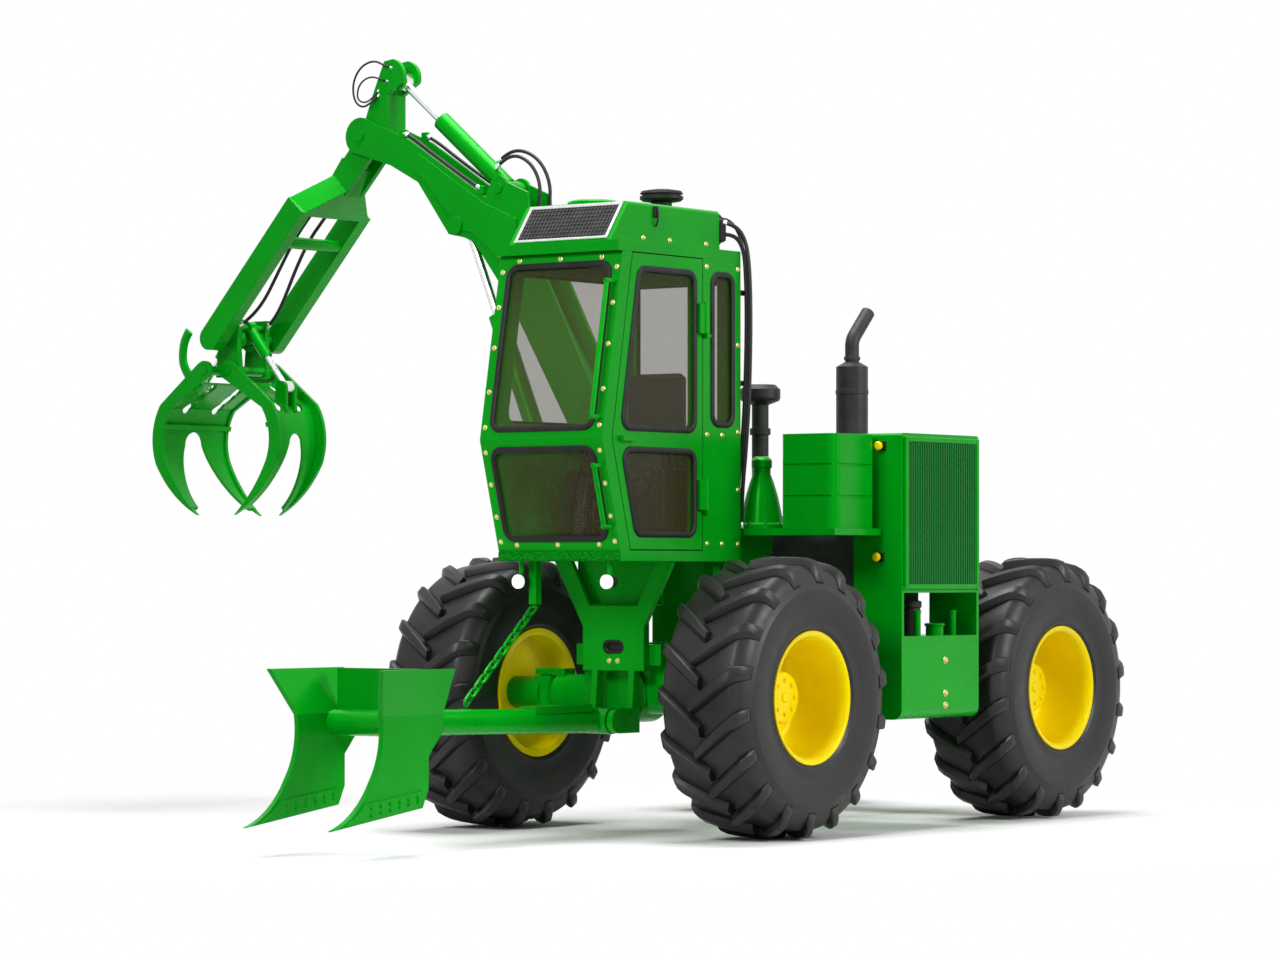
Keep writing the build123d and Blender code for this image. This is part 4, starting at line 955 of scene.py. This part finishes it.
# Bolts on the left side: place along the machine and height
QUARTER_BOLTS = ((0.935, 3.225), (1.240, 3.225), (0.935, 2.790), (0.935, 2.290), (1.090, 2.270),
                 (1.235, 2.270), (0.935, 1.960), (0.935, 1.650), (1.090, 1.650), (1.235, 1.650))
TANK_BOLTS = ((-0.097, 0.977), (-0.097, 0.785), (-0.097, 0.715))
ROOF_BOLTS = ((1.150, 3.360), (1.500, 3.360), (1.750, 3.360))
SHELL_Y = 1.180
# Rows of them: place across, share of a bolt's size, places
LEFT_BOLTS = ((0.430, 1.0, QUARTER_BOLTS), (SHELL_Y, 1.4, TANK_BOLTS), (0.360, 1.0, ROOF_BOLTS))
HOUSING_BOLTS = ((-0.440, 2.265), (0.340, 2.265), (-0.440, 1.395), (0.340, 1.395))
# Bolts under the nose's slot, and along both faces of the piler's wear plates
NOSE_BOLTS = ((1.550, -0.03, 0.985), (1.550, 0.03, 0.985))
WEAR_BOLTS, WEAR_X, WEAR_FROM, WEAR_PITCH = 6, 3.635, 0.035, 0.075
WEAR_FACES = ((0.315, 1), (0.265, -1))


def front_place(y, z):
    """A place on the cab's front panels, with the way it faces."""
    low, high = (FRONT_LOW, FRONT_BELT) if z < FRONT_BELT[1] else (FRONT_BELT, FRONT_TOP)
    run = Vector((high[0] - low[0], 0, high[1] - low[1])).normalized()
    x = low[0] + (high[0] - low[0]) * (z - low[1]) / (high[1] - low[1])
    return Vector((x, y, z)), Vector((run.z, 0, -run.x))


class LOADER_OT_bolts(bpy.types.Operator):
    """Sets the bolts on the cab, the tank, the radiator's housing and the piler's wear plates"""

    bl_idname = "loader.bolts"
    bl_label = "Bolts"

    def execute(self, context):
        radius = context.scene.loader_fittings.bolt_radius
        body = Shape()
        rows = [(y, z) for z in FRONT_BOLT_Z for y in FRONT_SIDE_Y]
        rows += [(y, z) for y in FRONT_ROW_Y for z in FRONT_ROW_Z]
        for y, z in rows:
            at, way = front_place(y, z)
            body.bolt(at, way, radius)
        for y, share, places in LEFT_BOLTS:
            for x, z in places:
                body.bolt((x, y, z), LEFT, share * radius)
        for at in NOSE_BOLTS:
            body.bolt(at, AHEAD, radius)
        finished("panel_bolts", body, "bolt_zinc")
        green = Shape()
        for x, z in HOUSING_BOLTS:
            green.bolt((x, SHELL_Y, z), LEFT, radius)
        finished("housing_bolts", green, "green_paint")
        wear = Shape()
        for i in range(WEAR_BOLTS):
            d = WEAR_FROM + WEAR_PITCH * i
            for z in (0.312 - 0.1075 * d, 0.290 - 0.1236 * d - 0.012 * i / WEAR_BOLTS):
                for sign in (1, -1):
                    for face, way in WEAR_FACES:
                        wear.bolt((WEAR_X + d, sign * face, z), LEFT * sign * way, 0.9 * radius)
        finished("wear_plate_bolts", wear, "green_paint", "piler")
        return {"FINISHED"}


# Seat and column in the cab, in metres
SEAT_BASE = ((1.100, -0.200, 1.611), (1.500, 0.200, 1.925))
SEAT_CUSHION = ((1.105, -0.205, 1.935), (1.505, 0.205, 2.035))
SEAT_BACK = ((1.092, -0.200, 2.060), (1.180, 0.200, 2.630))
VOXEL = 0.006
SWELL_FRAMES, SWELL_PRESSURE = 20, 4
COLUMN_FOOT, COLUMN_HEAD = Vector((1.900, 0, 1.630)), Vector((1.781, 0, 2.235))
STEERING_R, STEERING_WIRE, STEERING_SIDES, SPOKES = 0.163, 0.014, 40, 3
PIPING_DROP, PIPING_CORNER, PIPING_R = 0.012, 0.03, 0.006
LEVER_BANKS, LEVERS = (-0.290, 0.270), 3
MAT_STRIPS, MAT_FROM, MAT_PITCH, MAT_WIDTH = 18, -0.350, 0.041, 0.018


def stuffed(name, low, high, cap):
    """A cushion swollen by a short pressure simulation, no point moving past the cap."""
    shape = Shape()
    shape.block(low, high, 0.028)
    piece = finished(name, shape, "seat_cover", None, smooth=80)
    remesh = piece.modifiers.new("even", "REMESH")
    remesh.mode = "VOXEL"
    remesh.voxel_size = VOXEL
    bake(piece)
    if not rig.quick():
        start = [v.co.copy() for v in piece.data.vertices]
        swell = piece.modifiers.new("swell", "CLOTH")
        swell.settings.use_pressure = True
        swell.settings.uniform_pressure_force = SWELL_PRESSURE
        swell.settings.effector_weights.gravity = 0
        scene = bpy.context.scene
        for number in range(1, SWELL_FRAMES + 1):
            scene.frame_set(number)
        bake(piece)
        for vertex, was in zip(piece.data.vertices, start):
            move = vertex.co - was
            if move.length > cap:
                vertex.co = was + move.normalized() * cap
        scene.frame_set(1)
    piece.data.shade_smooth()
    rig.ride(piece, "chassis")
    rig.padded(piece, fill=0.7)
    return piece


def bake(piece):
    """Puts the result of a piece's modifiers into its mesh."""
    mesh = bpy.data.meshes.new_from_object(piece.evaluated_get(bpy.context.evaluated_depsgraph_get()))
    piece.modifiers.clear()
    piece.data = mesh


class LOADER_OT_cab(bpy.types.Operator):
    """Fits the seat, the steering column, the levers and the cab's lining"""

    bl_idname = "loader.cab"
    bl_label = "Cab inside"

    def execute(self, context):
        cap = context.scene.loader_fittings.cushion_swell
        base = Shape()
        base.block(*SEAT_BASE, 0.02)
        base.block((1.082, -0.170, 1.900), (1.110, 0.170, 2.500), 0.01)
        base = finished("seat_base", base, "black_plastic")
        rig.replaces(base, "seat")
        stuffed("seat_cushion", *SEAT_CUSHION, cap)
        stuffed("seat_backrest", *SEAT_BACK, cap)
        piping = Shape()
        ring = octagon(*SEAT_CUSHION, SEAT_CUSHION[1][2] - PIPING_DROP, PIPING_CORNER)
        piping.tube(ring, PIPING_R, 8, closed=True)
        finished("seat_piping", piping, "seat_cover")
        self.column()
        lining = Shape()
        lining.block((0.960, -0.372, 3.240), (1.935, 0.372, 3.268), 0.008)
        lining.block((0.960, -0.372, 1.611), (1.940, 0.372, 1.620), 0.003)
        for i in range(MAT_STRIPS):
            y = MAT_FROM + MAT_PITCH * i
            lining.block((0.980, y, 1.619), (1.920, y + MAT_WIDTH, 1.625), 0.002)
        finished("cab_lining", lining, "black_plastic")
        return {"FINISHED"}

    def column(self):
        """Steering column with a ringed wheel, and two banks of levers."""
        way = (COLUMN_HEAD - COLUMN_FOOT).normalized()
        shape = Shape()
        shape.block((1.845, -0.055, 1.611), (1.955, 0.055, 1.650), 0.008)
        shape.lathe([(0.050, 0), (0.046, 0.05), (0.034, 0.08), (0.032, 0.50), (0.040, 0.53), (0.040, 0.60),
                     (0.028, 0.617)], COLUMN_FOOT, way, 20)
        u = way.cross(LEFT).normalized()
        ring = [COLUMN_HEAD + STEERING_R * (math.cos(a) * u + math.sin(a) * LEFT)
                for a in turns(STEERING_SIDES)]
        shape.tube(ring, STEERING_WIRE, 10, closed=True)
        for k in range(SPOKES):
            end = ring[round(STEERING_SIDES * k / SPOKES) % STEERING_SIDES]
            shape.tube([COLUMN_HEAD - way * 0.01, end], 0.010, 8)
        for y in LEVER_BANKS:
            shape.block((1.250, y - 0.055, 1.611), (1.500, y + 0.055, 2.080), 0.015)
            for i in range(LEVERS):
                foot = Vector((1.300 + 0.07 * i, y, 2.075))
                shape.tube([foot, foot + Vector((0.02, 0, 0.10))], 0.006, 8)
                shape.lathe([(0.006, 0), (0.017, 0.012), (0.019, 0.028), (0.010, 0.042)],
                            foot + Vector((0.02, 0, 0.09)), (0.2, 0, 1), 12)
        piece = finished("steering_and_levers", shape, "black_plastic")
        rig.replaces(piece, "control_column")


ROOF_SLOPE_LOW, ROOF_SLOPE_TOP = Vector((2.050, 0, 3.330)), Vector((1.880, 0, 3.560))
ROOF_GRILLE_HALF, ROOF_GRILLE_EDGE = 0.318, 0.020
ROOF_WIRES, ROOF_WIRE_R, ROOF_BORDER_R, ROOF_CORNER = (26, 9), 0.0022, 0.010, 0.008
# The fan motor's outline, radius and height, and the cover's ribs
FAN_MOTOR = ((0.060, 0), (0.100, 0.004), (0.112, 0.014), (0.112, 0.034), (0.105, 0.038), (0.105, 0.044),
             (0.112, 0.048), (0.112, 0.068), (0.105, 0.072), (0.105, 0.078), (0.112, 0.082), (0.110, 0.096),
             (0.080, 0.106), (0.040, 0.108))
CATCH_ROUTE = ((1.638, 0.376, 3.540), (1.638, 0.382, 3.500), (1.638, 0.378, 3.455), (1.638, 0.366, 3.430))
COVER_RIBS, COVER_RADII, COVER_AT = 12, (0.038, 0.118), (1.600, -0.100, 3.584)


class LOADER_OT_roof(bpy.types.Operator):
    """Makes the roof unit's mesh grille, its catch, the fan motor behind it and the cover's ribs"""

    bl_idname = "loader.roof"
    bl_label = "Roof fittings"

    def execute(self, context):
        rise = ROOF_SLOPE_TOP - ROOF_SLOPE_LOW
        v = rise.normalized()
        n = LEFT.cross(v).normalized()
        n = n if n.x > 0 else -n
        middle = (ROOF_SLOPE_LOW + ROOF_SLOPE_TOP) / 2 + n * 0.005
        half_v = rise.length / 2 - ROOF_GRILLE_EDGE
        half_u = ROOF_GRILLE_HALF
        wires, border = Shape(), Shape()
        for count, half, along, across, reach in ((ROOF_WIRES[0], half_u, LEFT, v, half_v),
                                                  (ROOF_WIRES[1], half_v, v, LEFT, half_u)):
            for i in range(1, count):
                at = middle + along * half * (2 * i / count - 1)
                wires.tube([at - across * reach, at + across * reach], ROOF_WIRE_R, 6)
        for su, sv, reach in ((1, 0, half_v), (-1, 0, half_v), (0, 1, half_u), (0, -1, half_u)):
            at = middle + LEFT * su * half_u + v * sv * half_v
            run = (v if su else LEFT) * (reach + ROOF_CORNER)
            border.tube([at - run, at + run], ROOF_BORDER_R, 8, flat=0.7, normal=n)
        grille = finished("roof_mesh", wires, "grey_mesh")
        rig.replaces(grille, "roof_grille")
        finished("roof_mesh_border", border, "rod_chrome")
        back = Shape()
        corners = [middle - n * 0.004 + LEFT * a * half_u + v * b * half_v
                   for a, b in ((-1, -1), (1, -1), (1, 1), (-1, 1))]
        back.rings([corners, [c + n * 0.002 for c in corners]])
        finished("roof_mesh_backing", back, "black_plastic", smooth=20)
        motor = Shape()
        motor.lathe(FAN_MOTOR, (0.908, 0.225, 3.462), AHEAD, 36)
        motor.block((0.925, 0.150, 3.330), (1.005, 0.300, 3.375), 0.006)
        motor.block((0.930, 0.300, 3.385), (0.995, 0.352, 3.520), 0.010)
        finished("fan_motor", motor, "black_plastic")
        catch = Shape()
        catch.block((1.618, 0.360, 3.480), (1.658, 0.374, 3.545), 0.004)
        catch.tube(CATCH_ROUTE, 0.006, 8)
        finished("roof_catch", catch, "black_plastic")
        cover = Shape()
        x, y, z = COVER_AT
        for a in turns(COVER_RIBS):
            inner, outer = (Vector((x + r * math.cos(a), y + r * math.sin(a), z)) for r in COVER_RADII)
            cover.tube([inner, outer], 0.005, 6)
        finished("fan_cover_ribs", cover, "green_paint")
        return {"FINISHED"}


PIPE_MOUTH, PIPE_WAY = Vector((-0.385, 0.450, 3.040)), Vector((-1, 0, 1))
MUFFLER_X, MUFFLER_Y = -0.215, 0.450
# Straps as height, inner and outer radius, half width inside and outside, sides
STRAPS = ((1.980, 0.0945, 0.0985, 0.014, 0.012, 40), (2.560, 0.0945, 0.0985, 0.014, 0.012, 40),
          (2.760, 0.0415, 0.049, 0.012, 0.010, 28))
DECK_Z = 1.118
# Outlines of the bell and the filters, radius and height
BELL_AT, BELL_BOLTS, BELL_RING, BELL_FLANGE = (0.650, 0.400, 1.740), 8, 0.130, 1.772
BELL = ((0.140, 0), (0.140, 0.026), (0.126, 0.034), (0.112, 0.110), (0.094, 0.190), (0.070, 0.270),
        (0.052, 0.316), (0.052, 0.350), (0.060, 0.356), (0.060, 0.396), (0.050, 0.410), (0.030, 0.420))
FILTER = ((0.040, 0), (0.055, 0.006), (0.055, 0.150), (0.050, 0.160), (0.060, 0.166), (0.060, 0.200),
          (0.030, 0.210))
FILTERS = ((-0.030, 0.990), (0.150, 0.960))
# Filler caps on the deck: place, radius and height
CAPS = ((-0.140, 1.080, 0.052, 0.075), (0.080, 1.100, 0.022, 0.150), (-0.300, 1.100, 0.022, 0.150))
# A rib of the radiator's sheet: share of the pitch and how far it stands out
RIB = ((0.05, 0), (0.22, 0.011), (0.62, 0.011), (0.80, 0))
GRILLE_BORDER = 0.030
# Pull knobs on the housing: place across and height
KNOBS = ((1.045, 2.216), (1.031, 1.576))


class LOADER_OT_engine(bpy.types.Operator):
    """Makes the radiator's grille, the exhaust's mouth and straps, and what stands on the deck"""

    bl_idname = "loader.engine"
    bl_label = "Engine fittings"

    def execute(self, context):
        self.grille(context.scene.loader_fittings.grille_ribs)
        mouth = Shape()
        mouth.lathe([(0.036, -0.002), (0.036, 0.0012)], PIPE_MOUTH, PIPE_WAY, 24)
        finished("exhaust_mouth", mouth, "black_plastic")
        straps = Shape()
        for z, inner, outer, wide, narrow, sides in STRAPS:
            outline = ((inner, -wide), (outer, -narrow), (outer, narrow), (inner, wide))
            straps.lathe(outline, (MUFFLER_X, MUFFLER_Y, z), UP, sides)
        finished("exhaust_straps", straps, "black_steel")
        bell = Shape()
        bell.lathe(BELL, BELL_AT, UP, 40)
        x, y, _ = BELL_AT
        for a in turns(BELL_BOLTS):
            bell.bolt((x + BELL_RING * math.cos(a), y + BELL_RING * math.sin(a), BELL_FLANGE), UP, 0.007)
        for x, y, r, h in CAPS:
            outline = ((r, 0), (r, h - 0.02), (1.15 * r, h - 0.016), (1.15 * r, h - 0.004), (0.9 * r, h))
            bell.lathe(outline, (x, y, DECK_Z), UP, 24)
        finished("deck_fittings", bell, "green_paint")
        filters = Shape()
        for x, y in FILTERS:
            filters.lathe(FILTER, (x, y, DECK_Z), UP, 28)
        finished("deck_filters", filters, "black_steel")
        self.knobs()
        return {"FINISHED"}

    def grille(self, ribs):
        """Pressed sheet of upright ribs in a raised green frame."""
        low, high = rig.box("radiator_grille")
        pitch = (high.x - low.x) / ribs
        front = []
        for i in range(ribs):
            x = low.x + i * pitch
            front += [(x + s * pitch, low.y + 0.003 + d) for s, d in RIB]
        section = [(low.x, low.y), *front, (high.x, low.y)]
        sheet = Shape()
        sheet.rings([[(x, y, z) for x, y in section] for z in (low.z, high.z)])
        piece = finished("radiator_ribs", sheet, "grille_paint")
        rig.replaces(piece, "radiator_grille")
        border, depth = GRILLE_BORDER, (low.y + 0.0005, high.y)
        surround = Shape()
        for x0, x1, z0, z1 in ((low.x - border, low.x, low.z - border, high.z + border),
                               (high.x, high.x + border, low.z - border, high.z + border),
                               (low.x, high.x, low.z - border, low.z),
                               (low.x, high.x, high.z, high.z + border)):
            surround.block((x0, depth[0], z0), (x1, depth[1], z1), 0.003)
        finished("radiator_frame", surround, "green_paint")

    def knobs(self):
        """Two yellow pull knobs with black plates on the housing's front face."""
        plates, caps = Shape(), Shape()
        for y, z in KNOBS:
            plates.block((0.364, y - 0.030, z - 0.028), (0.374, y + 0.030, z + 0.028), 0.003)
            plates.lathe([(0.010, 0), (0.010, 0.020)], (0.372, y, z), AHEAD, 12)
            caps.lathe([(0.012, 0), (0.024, 0.004), (0.026, 0.018), (0.018, 0.028)], (0.390, y, z), AHEAD, 20)
        finished("knob_plates", plates, "black_plastic")
        finished("pull_knobs", caps, "yellow_paint")


# Lamp shell and lens: place along the machine from the lamp's front, half width and half height
LAMP_SHELL = ((-0.083, 0.022, 0.020), (-0.066, 0.036, 0.032), (-0.030, 0.042, 0.038), (-0.016, 0.042, 0.038))
LAMP_LENS = ((-0.017, 0.042, 0.040), (-0.004, 0.042, 0.040), (0.000, 0.034, 0.032), (0.001, 0.014, 0.012))
LAMP_X, LAMP_SIDES, LAMP_Z = 2.036, (-0.312, 0.312), 1.436
SLOT_AT, SLOT_DEPTH = Vector((1.551, 0, 1.065)), 0.024


class LOADER_OT_nose(bpy.types.Operator):
    """Makes the nose's slot rim, the gripped step edge and the lamps' housings"""

    bl_idname = "loader.nose"
    bl_label = "Nose and lamps"

    def execute(self, context):
        black, lens = Shape(), Shape()
        black.tube(stadium(SLOT_AT, 0.066, 0.031, LEFT, UP), 0.009, 10, closed=True, flat=0.6, normal=AHEAD)
        hollow = stadium(SLOT_AT - AHEAD * SLOT_DEPTH, 0.060, 0.0245, LEFT, UP)
        black.rings([hollow, [p + AHEAD * 0.002 for p in hollow]])
        for y in LAMP_SIDES:
            at = Vector((LAMP_X, y, LAMP_Z))
            black.rings([stadium(at + AHEAD * x, long, high, LEFT, UP) for x, long, high in LAMP_SHELL])
            lens.rings([stadium(at + AHEAD * x, long, high, LEFT, UP) for x, long, high in LAMP_LENS])
        finished("slot_rim_and_lamp_shells", black, "black_plastic")
        glass = finished("lamp_lenses", lens, "lamp")
        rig.replaces(glass, "headlamps")
        pan = Shape()
        pan.block((1.480, -0.300, 1.300), (1.490, 0.300, 1.552), 0.002)
        pan.block((1.490, -0.300, 1.300), (1.530, 0.300, 1.308), 0.002)
        finished("floor_pan", pan, "green_paint")
        step = Shape()
        step.block((2.050, -0.425, 1.553), (2.068, 0.425, 1.606), 0.004)
        finished("step_edge", step, "grip_paint")
        return {"FINISHED"}


# Camera of the photograph, in the machine's frame
CAMERA_AT = Vector((21.075, 14.69, 1.49))
CAMERA_TURN = math.radians(36.6)
FOCAL_PIXELS = 4300.0
PICTURE = (1280, 960)
HORIZON_ROW = 572
SENSOR = 36.0
CAMERA_REACH = 200
FLOOR_REACH, FLOOR_FADE, FLOOR_SIDES = 14.0, (2.8, 5.4), 64
FLOOR_MIDDLE, FLOOR_Z = (0.9, -1.2, 0), -0.002
SKY_LIGHT = 0.16
# Area lights: name, place, size and power; all look at one point of the machine
LIGHTS = (("key", (12, 1, 8), 4, 800), ("fill", (10, 12, 4), 4, 160), ("top", (0.5, -1.0, 12), 7, 1450),
          ("side", (-2, 12, 6), 5, 1000))
LIGHTS_AIM = Vector((0.5, 0, 1.6))


def aimed(at, way):
    """The placing of a camera or light that looks along a way."""
    return Matrix.Translation(at) @ way.to_track_quat("-Z", "Y").to_matrix().to_4x4()


class LOADER_OT_stage(bpy.types.Operator):
    """Sets the pale floor, the soft lights and the camera"""

    bl_idname = "loader.stage"
    bl_label = "Studio stage"

    def execute(self, context):
        scene = context.scene
        scene.view_settings.view_transform = "Standard"
        self.floor(scene)
        self.world(scene)
        self.lights(scene)
        data = bpy.data.cameras.new("photo_camera")
        data.sensor_width = SENSOR
        data.lens = FOCAL_PIXELS / PICTURE[0] * SENSOR
        data.shift_y = (HORIZON_ROW - PICTURE[1] / 2) / PICTURE[0]
        data.clip_end = CAMERA_REACH
        camera = bpy.data.objects.new("photo_camera", data)
        scene.collection.objects.link(camera)
        way = Vector((-math.cos(CAMERA_TURN), -math.sin(CAMERA_TURN), 0))
        camera.matrix_world = aimed(CAMERA_AT, way)
        scene.camera = camera
        return {"FINISHED"}

    def floor(self, scene):
        """A pale round floor that keeps the shadow and fades into the white around it."""
        shape = Shape()
        x, y, _ = FLOOR_MIDDLE
        rings = [[(x + r * math.cos(a), y + r * math.sin(a), FLOOR_Z) for a in turns(FLOOR_SIDES)]
                 for r in (FLOOR_REACH, FLOOR_REACH / 2, FLOOR_REACH / 8)]
        shape.rings(rings, caps=False)
        shape.add(rings[-1], [list(range(FLOOR_SIDES))])
        mesh = bpy.data.meshes.new("studio_floor")
        mesh.from_pydata(shape.verts, [], shape.faces)
        finish = Finish("studio_floor", 0.9, Specular_IOR_Level=0.0)
        finish.mottle((0.4, 2.0), (0.2, 0.8), (0.90, 0.90, 0.90), (0.93, 0.93, 0.93))
        nodes, links = finish.nodes, finish.links
        middle = nodes.new("ShaderNodeVectorMath")
        middle.operation = "DISTANCE"
        middle.inputs[1].default_value = FLOOR_MIDDLE
        links.new(finish.place, middle.inputs[0])
        fade = nodes.new("ShaderNodeMapRange")
        fade.interpolation_type = "SMOOTHSTEP"
        fade.inputs["From Min"].default_value, fade.inputs["From Max"].default_value = FLOOR_FADE
        links.new(middle.outputs["Value"], fade.inputs["Value"])
        clear = nodes.new("ShaderNodeBsdfTransparent")
        mix = nodes.new("ShaderNodeMixShader")
        links.new(fade.outputs["Result"], mix.inputs[0])
        links.new(finish.shader.outputs[0], mix.inputs[1])
        links.new(clear.outputs[0], mix.inputs[2])
        links.new(mix.outputs[0], nodes["Material Output"].inputs["Surface"])
        mesh.materials.append(finish.material)
        floor = bpy.data.objects.new("studio_floor", mesh)
        scene.collection.objects.link(floor)
        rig.stage(floor)

    def world(self, scene):
        """Even sky light; white to the eye, in metal and through glass."""
        world = bpy.data.worlds.new("studio_world")
        scene.world = world
        world.use_nodes = True
        nodes, links = world.node_tree.nodes, world.node_tree.links
        seen = nodes.new("ShaderNodeBackground")
        seen.inputs["Color"].default_value = (1, 1, 1, 1)
        light = nodes["Background"]
        light.inputs["Color"].default_value = (1, 1, 1, 1)
        light.inputs["Strength"].default_value = SKY_LIGHT
        path = nodes.new("ShaderNodeLightPath")
        total = path.outputs["Is Camera Ray"]
        for ray in ("Is Glossy Ray", "Is Transmission Ray"):
            both = nodes.new("ShaderNodeMath")
            both.operation = "MAXIMUM"
            links.new(total, both.inputs[0])
            links.new(path.outputs[ray], both.inputs[1])
            total = both.outputs[0]
        mix = nodes.new("ShaderNodeMixShader")
        links.new(total, mix.inputs[0])
        links.new(light.outputs[0], mix.inputs[1])
        links.new(seen.outputs[0], mix.inputs[2])
        links.new(mix.outputs[0], nodes["World Output"].inputs["Surface"])

    def lights(self, scene):
        """A broad key from the camera's left, a fill, a side light and a top light."""
        for name, at, size, power in LIGHTS:
            data = bpy.data.lights.new(f"{name}_light", "AREA")
            data.size = size
            data.energy = power
            lamp = bpy.data.objects.new(f"{name}_light", data)
            lamp.matrix_world = aimed(at, LIGHTS_AIM - Vector(at))
            scene.collection.objects.link(lamp)


class LOADER_PT_panel(bpy.types.Panel):
    """Lists the loader's sizes, colours and steps"""

    bl_label = "Loader"
    bl_idname = "LOADER_PT_panel"
    bl_space_type = "VIEW_3D"
    bl_region_type = "UI"
    bl_category = "Loader"

    def draw(self, context):
        for name, group in GROUPS.items():
            for setting in group.__annotations__:
                self.layout.prop(getattr(context.scene, name), setting)
        for operator in OPERATORS:
            self.layout.operator(operator.bl_idname)


GROUPS = {"loader_finishes": LoaderFinishes, "loader_wheels": LoaderWheels, "loader_fittings": LoaderFittings}
OPERATORS = (LOADER_OT_stage, LOADER_OT_hoses, LOADER_OT_brackets, LOADER_OT_paint, LOADER_OT_wheels,
             LOADER_OT_seals, LOADER_OT_chain, LOADER_OT_bolts, LOADER_OT_cab, LOADER_OT_roof,
             LOADER_OT_engine, LOADER_OT_nose)


def register():
    """Adds the classes and the scene's settings."""
    for cls in (*GROUPS.values(), *OPERATORS, LOADER_PT_panel):
        bpy.utils.register_class(cls)
    for name, group in GROUPS.items():
        setattr(bpy.types.Scene, name, bpy.props.PointerProperty(type=group))


def unregister():
    """Takes the classes and the settings out again."""
    for name in GROUPS:
        delattr(bpy.types.Scene, name)
    for cls in reversed((*GROUPS.values(), *OPERATORS, LOADER_PT_panel)):
        bpy.utils.unregister_class(cls)


def main():
    """Dresses the machine and writes the two boxes."""
    register()
    for operator in OPERATORS:
        group, name = operator.bl_idname.split(".")
        getattr(getattr(bpy.ops, group), name)()
    boxes = {"cad": [list(corner) for corner in CAD_BOX], "visual": [list(corner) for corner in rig.bounds()]}
    with open("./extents.json", "w") as out:
        json.dump(boxes, out)


if __name__ == "__main__":
    main()
